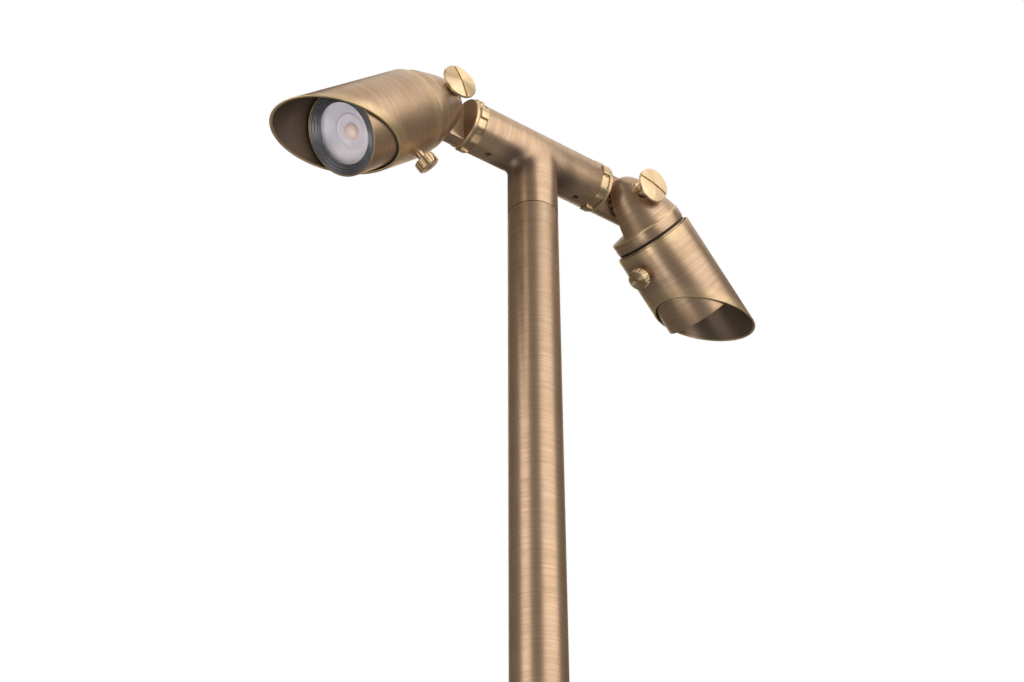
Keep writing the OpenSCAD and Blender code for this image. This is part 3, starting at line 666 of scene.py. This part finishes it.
def revolve(name, columns, closedOutline=True):
    # columns holds one outline for each angle, or one outline and a count
    if isinstance(columns, tuple):
        columns = [columns[0]] * columns[1]
    shell = bmesh.new()
    turns = len(columns)
    rings = []
    for number, points in enumerate(columns):
        angle = math.tau * number / turns
        direction = Vector((math.cos(angle), math.sin(angle), 0))
        rings.append([shell.verts.new(direction * p[1] + Vector((0, 0, p[0]))) for p in points])
    count = len(rings[0])
    last = count if closedOutline else count - 1
    for number in range(turns):
        here, following = rings[number], rings[(number + 1) % turns]
        for index in range(last):
            after = (index + 1) % count
            shell.faces.new((here[index], here[after], following[after], following[index]))
    bmesh.ops.remove_doubles(shell, verts=shell.verts, dist=1e-5)
    bmesh.ops.recalc_face_normals(shell, faces=shell.faces)
    return newObject(name, shell)


def bakeMesh(made):
    # turns the evaluated modifiers into a plain mesh
    graph = bpy.context.evaluated_depsgraph_get()
    baked = bpy.data.meshes.new_from_object(made.evaluated_get(graph))
    made.modifiers.clear()
    made.data = baked


def addBevel(made, width, segments=2, angle=30):
    bevel = made.modifiers.new("brokenEdges", "BEVEL")
    bevel.width, bevel.segments = width, segments
    bevel.limit_method = "ANGLE"
    bevel.angle_limit = math.radians(angle)


def finishPiece(made, node, material, matrix=None, sharp=35, instead=True):
    # instead is False for a piece that is added to its node's own solid
    if matrix is not None:
        made.data.transform(matrix)
    made.data.polygons.foreach_set("use_smooth", [True] * len(made.data.polygons))
    made.data.set_sharp_from_angle(angle=math.radians(sharp))
    made.data.materials.clear()
    made.data.materials.append(material)
    made.data.polygons.foreach_set("material_index", [0] * len(made.data.polygons))
    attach(made, frame["nodes"][node]["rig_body"])
    if instead:
        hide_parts(node)


def softened(name, node, width, segments=2, angle=28):
    # a merged copy of the part's own solid, with its edges broken
    shell = bmesh.new()
    shell.from_mesh(frame["nodes"][node].data)
    shell.transform(Matrix.Scale(1 / mm, 4))
    bmesh.ops.remove_doubles(shell, verts=shell.verts, dist=1e-3)
    bmesh.ops.dissolve_limit(shell, angle_limit=math.radians(0.4), verts=shell.verts,
                             edges=shell.edges)
    made = newObject(name, shell)
    addBevel(made, width, segments, angle)
    bakeMesh(made)
    made.data.transform(Matrix.Scale(mm, 4))
    return made


def paintNode(node, material):
    data = frame["nodes"][node].data
    data.materials.clear()
    data.materials.append(material)


# Geometry Nodes that cut a repeated shape out of a turned blank
def arrayTree(name, cutterInputs, makeCutter):
    tree = bpy.data.node_groups.new(name, "GeometryNodeTree")
    addSocket(tree, "Geometry", "Geometry", "OUTPUT")
    kinds = {"Geometry": "Geometry", "Count": "Int", "Start": "Float",
             **dict.fromkeys(cutterInputs, "Float"), "Material": "Material"}
    for socket, kind in kinds.items():
        addSocket(tree, socket, kind)
    given = tree.nodes.new("NodeGroupInput").outputs
    points = addNode(tree, "GeometryNodePoints", {"Count": given["Count"]})
    pitch = mathNode(tree, "DIVIDE", math.tau, given["Count"])
    turn = product(tree, addNode(tree, "GeometryNodeInputIndex"), pitch)
    turn = mathNode(tree, "ADD", turn, given["Start"])
    rotation = addNode(tree, "ShaderNodeCombineXYZ", {2: turn})
    placed = addNode(tree, "GeometryNodeInstanceOnPoints",
                     {"Points": points, "Instance": makeCutter(tree, given),
                      "Rotation": rotation})
    real = addNode(tree, "GeometryNodeRealizeInstances", {0: placed})
    cut = addNode(tree, "GeometryNodeMeshBoolean",
                  {"Mesh 1": given["Geometry"], "Mesh 2": real},
                  operation="DIFFERENCE", solver="EXACT")
    whole = addNode(tree, "GeometryNodeRealizeInstances", {0: cut})
    painted = addNode(tree, "GeometryNodeSetMaterial",
                      {"Geometry": whole, "Material": given["Material"]})
    addNode(tree, "NodeGroupOutput", {"Geometry": painted})
    return tree


def span(tree, low, high):
    # length and middle of the stretch between two inputs
    middle = product(tree, mathNode(tree, "ADD", high, low), 0.5)
    return mathNode(tree, "SUBTRACT", high, low), middle


def moved(tree, shape, x, z):
    shift = addNode(tree, "ShaderNodeCombineXYZ", {0: x, 2: z})
    return addNode(tree, "GeometryNodeTransform",
                   {"Geometry": shape, "Translation": shift})


def sectorCutter(tree, given):
    # a piece of a ring that spans an angle, from Inner to Outer radius and from Low to High
    depth, middle = span(tree, given["Inner"], given["Outer"])
    tall, centre = span(tree, given["Low"], given["High"])
    arc = addNode(tree, "GeometryNodeCurveArc",
                  {"Resolution": 12, "Radius": middle, "Sweep Angle": given["Sweep"]})
    outline = addNode(tree, "GeometryNodeCurvePrimitiveQuadrilateral",
                      {"Width": depth, "Height": tall})
    swept = addNode(tree, "GeometryNodeCurveToMesh",
                    {"Curve": arc, "Profile Curve": outline,
                     "Fill Caps": True})
    return moved(tree, swept, 0.0, centre)


def grooveCutter(tree, given):
    # a round bar beside the axis, from Low to High
    tall, centre = span(tree, given["Low"], given["High"])
    bar = addNode(tree, "GeometryNodeMeshCylinder",
                  {"Vertices": 14, "Radius": given["Bar"], "Depth": tall})
    return moved(tree, bar, given["Distance"], centre)


def slotCutter(tree, given):
    # a straight saw cut across the axis, from Low to High
    tall, centre = span(tree, given["Low"], given["High"])
    size = addNode(tree, "ShaderNodeCombineXYZ", {0: given["Length"], 1: given["Width"], 2: tall})
    block = addNode(tree, "GeometryNodeMeshCube", {"Size": size})
    return moved(tree, block, 0.0, centre)


trees = {
    "lugs": arrayTree("cutBetweenLugs", ("Inner", "Outer", "Low", "High", "Sweep"), sectorCutter),
    "knurl": arrayTree("cutKnurl", ("Distance", "Bar", "Low", "High"), grooveCutter),
    "slot": arrayTree("cutSlot", ("Length", "Width", "Low", "High"), slotCutter),
}


def applyTree(made, treeName, material, **values):
    tree = trees[treeName]
    modifier = made.modifiers.new(treeName, "NODES")
    modifier.node_group = tree
    named = {item.name: item.identifier for item in tree.interface.items_tree
             if item.in_out == "INPUT"}
    for name, value in values.items():
        modifier[named[name]] = value
    modifier[named["Material"]] = material


def sawCut(made, material, spec, radius, top):
    applyTree(made, "slot", material, Count=1, Start=0.0, Length=3 * radius,
              Width=spec["slotWidth"], Low=top - spec["slotDepth"], High=top + spec["overrun"])


# Stem and tee
teeCentre = Vector((0, 0, jointPlace("left_swivel").z))
stemSpec = {"radius": 12.7, "wall": 1.6, "edge": 0.25, "turns": 160}
seamSpec = {"drop": 38.3, "width": 0.4, "strength": 0.8}
seamPlace = teeCentre - Vector((0, 0, seamSpec["drop"] * mm))
legSeam = [(seamPlace, (0, 0, 1), seamSpec["width"] * mm, seamSpec["strength"])]
teeCorner = {  # in metres
    "legBlend": (-0.0165, -0.0095),  # below the cross tube's axis
    "blend": (teeCentre - Vector((0, 0, 0.008)), 0.025, 0.006),  # place, reach and radius
    # hollowShade: centre, place and width of the painted shade in the tee's hollow corners
    "hollowShade": (teeCentre, (0.015, 0.007, -0.0145), 0.013),  # centre, place from it and width
}


def makeStem(spec):
    low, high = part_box("stem_tube")
    bottom, top = low.z / mm, high.z / mm
    outer, inner, edge = spec["radius"], spec["radius"] - spec["wall"], spec["edge"]
    outline = roundCorners([(bottom, outer, edge), (top, outer, edge),
                            (top, inner, edge), (bottom, inner, edge)])
    stem = revolve("stemTube", (outline, spec["turns"]))
    finishPiece(stem, "stem_tube", stemBrass, Matrix.Scale(mm, 4))


stemBrass = agedBrass("stemBrass", [((0, 0, 0), (0, 0, 1))], seams=legSeam)
teeBrass = agedBrass("teeBrass", [(teeCentre, (1, 0, 0)), (teeCentre, (0, 0, 1))], seams=legSeam,
                     corner=teeCorner)
# solids of the post that keep their own form: piece, width and steps of the broken edge,
# material and slot
postPieces = {
    "tee_fitting": ("teeFitting", 0.2, 2, teeBrass, "aged_brass"),
    "tee_set_screws": ("teeSetScrews", 0.1, 2, plain["dullSteel"], "screw_steel"),
    "stem_foot": ("stemFoot", 0.15, 2, stemBrass, "aged_brass"),
    "ground_spike": ("groundSpike", 0.6, 3, plain["blackPlastic"], "spike_plastic"),
    "cable_grommet": ("cableGrommet", 0.2, 2, plain["blackRubber"], "rubber"),
}
makeStem(stemSpec)
for node, (pieceName, width, steps, material, slotName) in postPieces.items():
    finishPiece(softened(pieceName, node, width, steps), node, material)
paintNode("stem_nipple", brightBrass("nippleBrass", teeCentre, (0, 0, 1)))
print("stem, tee and spike made")


# Ring nuts with six lugs
ringSpec = {
    "start": 37.45, "long": 4.3, "bore": 10.5, "lugRadius": 13.7, "floorRadius": 12.3,
    "lugs": 6, "lugAngle": 26, "turn": {"left": 32, "right": 20}, "edge": 0.25, "arcSteps": 3,
    "broken": 0.12, "turns": 144, "overrun": 1,
}


def makeLockRing(side, spec):
    outward = jointAxis(side + "_lock_ring_turn")
    across = outward.cross((0, 0, -1))
    start, end = spec["start"], spec["start"] + spec["long"]
    edge = spec["edge"]
    outline = roundCorners([(start, spec["bore"], edge), (start, spec["lugRadius"], edge),
                            (end, spec["lugRadius"], edge), (end, spec["bore"], edge)],
                           spec["arcSteps"])
    ring = revolve(side + "LockRing", (outline, spec["turns"]))
    gap = 360 / spec["lugs"] - spec["lugAngle"]
    first = spec["turn"][side] + spec["lugAngle"] / 2
    if across.y < 0:
        first = -first - gap
    brass = brightBrass(side + "RingBrass", teeCentre, outward)
    applyTree(ring, "lugs", brass, Count=spec["lugs"], Start=math.radians(first),
              Sweep=math.radians(gap), Inner=spec["floorRadius"],
              Outer=spec["lugRadius"] + spec["overrun"], Low=start - spec["overrun"],
              High=end + spec["overrun"])
    addBevel(ring, spec["broken"])
    bakeMesh(ring)
    matrix = frameMatrix(teeCentre, (0, 0, -1), across, mm)
    finishPiece(ring, side + "_lock_ring", brass, matrix)


for side in sides:
    makeLockRing(side, ringSpec)
print("lock rings made")


# Knuckles and caps are the part's own solids with broken edges; the handled edges are worn bright
# and the cap's crease gets a painted highlight, each by its place along the axis, width and
# strength
edgeSpec = {
    "broken": 0.15,
    "flange": (43.4, 0.8, 0.8), "creaseHighlight": (16.8, 0.9, 0.55), "collar": (23.0, 0.4, 0.7),
}


def alongHead(side, distance, width, strength):
    head = heads[side]
    return (head["start"] + head["along"] * distance * mm, head["along"], width * mm, strength)


for side in sides:
    head = heads[side]
    outward = jointAxis(side + "_lock_ring_turn")
    reach, width, strength = edgeSpec["flange"]
    flange = (teeCentre + outward * reach * mm, outward, width * mm, strength)
    knuckleBrass = agedBrass(side + "KnuckleBrass", [(teeCentre, (1, 0, 0))], rims=[flange])
    # the crease band is a painted highlight; the collar's edge is worn bright
    capRimsAndHighlight = [alongHead(side, *edgeSpec["creaseHighlight"]), alongHead(side, *edgeSpec["collar"])]
    capBrass = agedBrass(side + "CapBrass", [head["axis"]], rims=capRimsAndHighlight)
    for pieceName, node, brass in ((side + "Knuckle", side + "_knuckle", knuckleBrass),
                                   (side + "BackCap", side + "_back_cap", capBrass)):
        finishPiece(softened(pieceName, node, edgeSpec["broken"]), node, brass)
    paintNode(side + "_knuckle_seal", plain["blackRubber"])
print("knuckles and caps made")


# Tilt screws with a crowned head and a saw cut
tiltScrewSpec = {
    "long": 30, "thread": 3.175, "shoulder": 4.5, "shoulderLong": 6.3, "head": 9.25,
    "headSide": 1.5, "crown": 0.9, "slotWidth": 1.15, "slotDepth": 1.4, "overrun": 1, "edge": 0.3,
    "broken": 0.1, "washerBroken": 0.15, "crownSteps": 10, "turns": 128,
    "under": {"left": 21.65, "right": 23.05}, "turn": {"left": -72.4, "right": 26.6},
}


def makeTiltScrew(side, spec):
    head = heads[side]
    under = spec["under"][side]
    radius, crown = spec["head"], spec["crown"]
    ball = (radius ** 2 + crown ** 2) / (2 * crown)
    tip, seat, edge = under - spec["long"], under - spec["shoulderLong"], spec["edge"]
    top = under + spec["headSide"] + crown
    outline = [(tip, 0, 0), (tip, spec["thread"], edge), (seat, spec["thread"], 0),
               (seat, spec["shoulder"], edge), (under, spec["shoulder"], 0),
               (under, radius, edge), (top - crown, radius, edge)]
    rim = math.acos(radius / ball)
    for step in range(1, spec["crownSteps"] + 1):
        angle = rim + (math.pi / 2 - rim) * step / spec["crownSteps"]
        outline.append((top - ball + ball * math.sin(angle), ball * math.cos(angle), 0))
    screw = revolve(side + "TiltScrew", (roundCorners(outline), spec["turns"]))
    turn = math.radians(spec["turn"][side])
    slotWay = head["along"] * math.cos(turn) + head["up"] * math.sin(turn)
    brass = brightBrass(side + "TiltScrewBrass", head["hinge"], head["screw"])
    sawCut(screw, brass, spec, radius, top)
    addBevel(screw, spec["broken"])
    bakeMesh(screw)
    finishPiece(screw, side + "_tilt_screw", brass,
                turnedFrame(head["hinge"], head["screw"], slotWay))
    washer = softened(side + "TiltWasher", side + "_tilt_washer", spec["washerBroken"])
    finishPiece(washer, side + "_tilt_washer", brass)


for side in sides:
    makeTiltScrew(side, tiltScrewSpec)
print("tilt screws made")


# Barrel with its seals, gasket and glass
barrelSpec = {
    "rear": 24.3, "front": 73.2, "radius": 19.9, "bore": 18.65, "rimInner": 19.1,
    "lipFront": 72.8, "lipRear": 72.2, "lipRadius": 17.95,
    "grooveRadius": 19.45, "grooveHalf": 0.65, "grooves": (30.0, 44.0), "edge": 0.25,
    "cornerOut": 0.1, "cornerIn": 0.2, "turns": 180,
    "ringInner": 19.5, "ringSection": 1.2, "sealPlace": 23.7, "sealInner": 18.7, "sealSection": 1.1,
}


def roundRings(name, places, inner, section, steps=20, turns=120):
    # one piece of as many rings as there are places
    radius = section / 2
    joined = bmesh.new()
    for number, place in enumerate(places):
        angles = [math.tau * step / steps for step in range(steps)]
        outline = [Vector((place + radius * math.cos(angle),
                           inner + radius + radius * math.sin(angle))) for angle in angles]
        ring = revolve(name + "Part" + str(number), (outline, turns))
        joined.from_mesh(ring.data)
        bpy.data.objects.remove(ring)
    return newObject(name, joined)


def makeBarrel(side, spec):
    head = heads[side]
    matrix, radius = head["frame"], spec["radius"]
    edge, out, half = spec["edge"], spec["cornerOut"], spec["grooveHalf"]
    outline = [(spec["rear"], spec["bore"], edge), (spec["rear"], radius, edge)]
    for place in spec["grooves"]:
        for end, order in ((place - half, 1), (place + half, -1)):
            outline += [(end, radius, out),
                        (end, spec["grooveRadius"], spec["cornerIn"])][::order]
    outline += [(spec["front"], radius, edge), (spec["front"], spec["rimInner"], edge),
                (spec["lipFront"], spec["rimInner"], 0), (spec["lipFront"], spec["lipRadius"], out),
                (spec["lipRear"], spec["lipRadius"], out), (spec["lipRear"], spec["bore"], 0)]
    barrel = revolve(side + "Barrel", (roundCorners(outline), spec["turns"]))
    brass = agedBrass(side + "BarrelBrass", [head["axis"]])
    finishPiece(barrel, side + "_barrel", brass, matrix)
    rings = roundRings(side + "GuideRings", spec["grooves"], spec["ringInner"], spec["ringSection"])
    seal = roundRings(side + "CapSeal", [spec["sealPlace"]], spec["sealInner"], spec["sealSection"])
    for made, node in ((rings, "_guide_rings"), (seal, "_cap_seal")):
        finishPiece(made, side + node, plain["blackRubber"], matrix)


glazingSpec = {
    "gasketRear": 70.15, "gasketSeat": 72.15, "flangeRear": 72.85, "gasketFront": 73.2,
    "window": 14.5, "seat": 18.6, "neck": 17.9, "flange": 19.05, "slopeStart": 18.3,
    "slopeDepth": 1.9, "ridges": 3, "ridgeHeight": 0.38, "ridgeSteps": 10, "edge": 0.1,
    "flangeEdge": 0.12, "turns": 160, "sharp": 60,
    "glassRear": 67.6, "glassFront": 70.1, "glassRadius": 18.35, "glassEdge": 0.3,
    "glassTurns": 120,
}


def makeGlazing(side, spec):
    matrix = heads[side]["frame"]
    front, edge = spec["gasketFront"], spec["edge"]
    slope = []
    steps = spec["ridgeSteps"] * spec["ridges"]
    for step in range(steps + 1):
        t = step / steps
        radius = spec["slopeStart"] + (spec["window"] - spec["slopeStart"]) * t
        wave = 0.5 - 0.5 * math.cos(math.tau * spec["ridges"] * t)
        slope.append((front - spec["slopeDepth"] * t - spec["ridgeHeight"] * wave, radius, 0))
    outline = [(spec["gasketRear"], spec["window"], edge), (spec["gasketRear"], spec["seat"], edge),
               (spec["gasketSeat"], spec["seat"], edge), (spec["gasketSeat"], spec["neck"], 0),
               (spec["flangeRear"], spec["neck"], 0), (spec["flangeRear"], spec["flange"], 0),
               (front, spec["flange"], spec["flangeEdge"])] + slope
    gasket = revolve(side + "LensGasket", (roundCorners(outline), spec["turns"]))
    finishPiece(gasket, side + "_lens_gasket", plain["glossyRubber"], matrix,
                sharp=spec["sharp"])
    rear, front, radius = spec["glassRear"], spec["glassFront"], spec["glassRadius"]
    outline = roundCorners([(rear, 0, 0), (rear, radius, spec["glassEdge"]),
                            (front, radius, spec["glassEdge"]), (front, 0, 0)])
    glass = revolve(side + "Lens", (outline, spec["glassTurns"]), False)
    finishPiece(glass, side + "_lens", plain["clearGlass"], matrix)


for side in sides:
    makeBarrel(side, barrelSpec)
    makeGlazing(side, glazingSpec)
print("barrels and glazing made")


# Glare guard: a sleeve whose mouth is cut on a slant
guardSpec = {
    "rear": {"left": 24.6, "right": 25.2}, "radius": 21.75, "bore": 20.75, "middle": 52.2,
    "rise": 23.6, "edge": 0.28, "turns": 240, "holeInset": 11.4, "holeRadius": 2.05,
    "drillLong": 30, "drillEnd": -10, "drillTurns": 32,
    "wornLine": (0.45, 0.75), "wornZone": (7.0, 0.4), "inner": 21.2,
}


def makeGuard(side, spec):
    head = heads[side]
    rear, bore, radius, edge = spec["rear"][side], spec["bore"], spec["radius"], spec["edge"]
    slope, middle = spec["rise"] / radius, rear + spec["middle"]
    columns = []
    for number in range(spec["turns"]):
        lean = math.cos(math.tau * number / spec["turns"])
        columns.append(roundCorners([
            (rear, bore, edge), (rear, radius, edge),
            (middle + slope * radius * lean, radius, edge),
            (middle + slope * bore * lean, bore, edge)]))
    guard = revolve(side + "GlareGuard", columns)
    mouth = (head["start"] + head["along"] * middle * mm, head["along"] + head["down"] * slope)
    rims, zones = [[alongHead(side, rear, width, strength), (*mouth, width * mm, strength)]
                   for width, strength in (spec["wornLine"], spec["wornZone"])]
    # the guard's bore, within the inner radius, gets painted shade
    brass = agedBrass(side + "GuardBrass", [head["axis"]], rims, zones, inner=spec["inner"])
    long, thick = spec["drillLong"], spec["holeRadius"]
    outline = [Vector(point) for point in ((0, 0), (0, thick), (long, thick), (long, 0))]
    drill = revolve(side + "GuardDrill", (outline, spec["drillTurns"]), False)
    across = Matrix.Rotation(math.radians(90), 4, "Y")
    drillStart = Vector((spec["drillEnd"] - long, 0, rear + spec["holeInset"]))
    drill.data.transform(Matrix.Translation(drillStart) @ across)
    hole = guard.modifiers.new("screwHole", "BOOLEAN")
    hole.object, hole.operation, hole.solver = drill, "DIFFERENCE", "EXACT"
    bakeMesh(guard)
    bpy.data.objects.remove(drill)
    finishPiece(guard, side + "_glare_guard", brass, head["guardFrame"])


# Knurled guard screws
knobSpec = {
    "tip": 20.8, "thread": 2.0, "under": 25.25, "tall": 4.8, "radius": 5.4, "edge": 0.8,
    "tipEdge": 0.3, "turns": 108, "grooves": 18, "grooveOut": 0.1, "slotWidth": 1.2,
    "slotDepth": 1.8, "overrun": 1, "broken": 0.08, "turn": {"left": 92, "right": 45},
}


def makeGuardScrew(side, spec):
    head = heads[side]
    under, radius = spec["under"], spec["radius"]
    top = under + spec["tall"]
    outline = roundCorners([
        (spec["tip"], 0, 0), (spec["tip"], spec["thread"], spec["tipEdge"]),
        (under, spec["thread"], 0), (under, radius, spec["edge"]),
        (top, radius, spec["edge"]), (top, 0, 0)])
    screw = revolve(side + "GuardScrew", (outline, spec["turns"]), False)
    place = jointPlace(side + "_guard_screw_turn")
    brass = brightBrass(side + "GuardScrewBrass", place, head["down"])
    applyTree(screw, "knurl", brass, Count=spec["grooves"], Start=0.0,
              Distance=radius + spec["grooveOut"], Bar=math.pi * radius / spec["grooves"] / 2,
              Low=under - spec["overrun"], High=top + spec["overrun"])
    sawCut(screw, brass, spec, radius, top)
    addBevel(screw, spec["broken"])
    bakeMesh(screw)
    turn = math.radians(spec["turn"][side])
    across = head["down"].cross(head["along"])
    if across.dot(head["screw"]) < 0:
        across.negate()
    slotWay = head["along"] * math.cos(turn) + across * math.sin(turn)
    onAxis = place - head["down"] * (place - head["start"]).dot(head["down"])
    finishPiece(screw, side + "_guard_screw", brass,
                turnedFrame(onAxis, head["down"], slotWay))


for side in sides:
    makeGuard(side, guardSpec)
    makeGuardScrew(side, knobSpec)
print("guards and guard screws made")


# Lamp behind the glass: a pale face with fine rings, a petalled well and a dome over the chip
lampSpec = {
    "deck": 64.1, "front": 67.3, "radius": 16.7, "faceOuter": 16.1, "faceEdge": 15.9, "face": 65.1,
    "rise": 2.1, "rings": 9, "ringHeight": 0.07, "well": 7.2, "wellInner": 3.5, "wellFloor": 64.35,
    "petals": 8, "petalDepth": 0.12, "lipWide": 1.3, "lipTall": 0.55, "steps": 6, "turns": 144,
    "sharp": 50,
}
domeSpec = {"base": 64.6, "height": 2.3, "radius": 3.6, "steps": 16, "turns": 64, "sharp": 180}


def lampOutline(spec, petal):
    # from the back round the edge, then inward over the rings, the lip and the well's wall
    outline = [(spec["deck"], spec["wellInner"]), (spec["deck"], spec["radius"]),
               (spec["front"], spec["radius"]), (spec["front"], spec["faceOuter"])]
    ringSteps = spec["steps"] * spec["rings"]
    lipOuter = spec["well"] + spec["lipWide"]
    for step in range(ringSteps + 1):
        t = step / ringSteps
        wave = 0.5 - 0.5 * math.cos(math.tau * spec["rings"] * t)
        outline.append((spec["face"] + spec["rise"] * (1 - t) ** 2 - spec["ringHeight"] * wave,
                        spec["faceEdge"] + (lipOuter - spec["faceEdge"]) * t))
    shares = [step / spec["steps"] for step in range(1, spec["steps"] + 1)]
    for t in shares:
        rise = spec["lipTall"] * math.sin(math.pi * t)
        outline.append((spec["face"] + rise, spec["well"] + spec["lipWide"] * (1 - t)))
    for t in shares:
        radius = spec["well"] + (spec["wellInner"] - spec["well"]) * t
        radius += spec["petalDepth"] * petal * math.sin(math.pi * t)
        depth = (spec["face"] - spec["wellFloor"]) * (1 - math.cos(math.pi * t)) / 2
        outline.append((spec["face"] - depth, radius))
    return [Vector(point) for point in outline]


def makeLampFace(side, spec):
    petals = [math.cos(math.tau * spec["petals"] * number / spec["turns"])
              for number in range(spec["turns"])]
    face = revolve(side + "LampFace", [lampOutline(spec, petal) for petal in petals])
    finishPiece(face, side + "_lamp_optic", plain["lampReflector"],
                heads[side]["frame"], spec["sharp"])


def makeChipDome(side, spec):
    outline = [Vector((spec["base"], 0))]
    for step in range(spec["steps"] + 1):
        angle = math.pi / 2 * step / spec["steps"]
        outline.append(Vector((spec["base"] + spec["height"] * math.sin(angle),
                               spec["radius"] * math.cos(angle))))
    cover = revolve(side + "ChipDome", (outline, spec["turns"]), False)
    finishPiece(cover, side + "_led_chip", plain["ledSilicone"],
                heads[side]["frame"], spec["sharp"], instead=False)


# inner solids that only get a material
innerPaint = {"_led_chip": "ledPhosphor", "_lamp_shell": "satinAluminium",
              "_lamp_pins": "platedPin", "_lamp_socket": "glazedCeramic"}
for side in sides:
    makeLampFace(side, lampSpec)
    makeChipDome(side, domeSpec)
    for node, materialName in innerPaint.items():
        paintNode(side + node, plain[materialName])
print("lamps made")
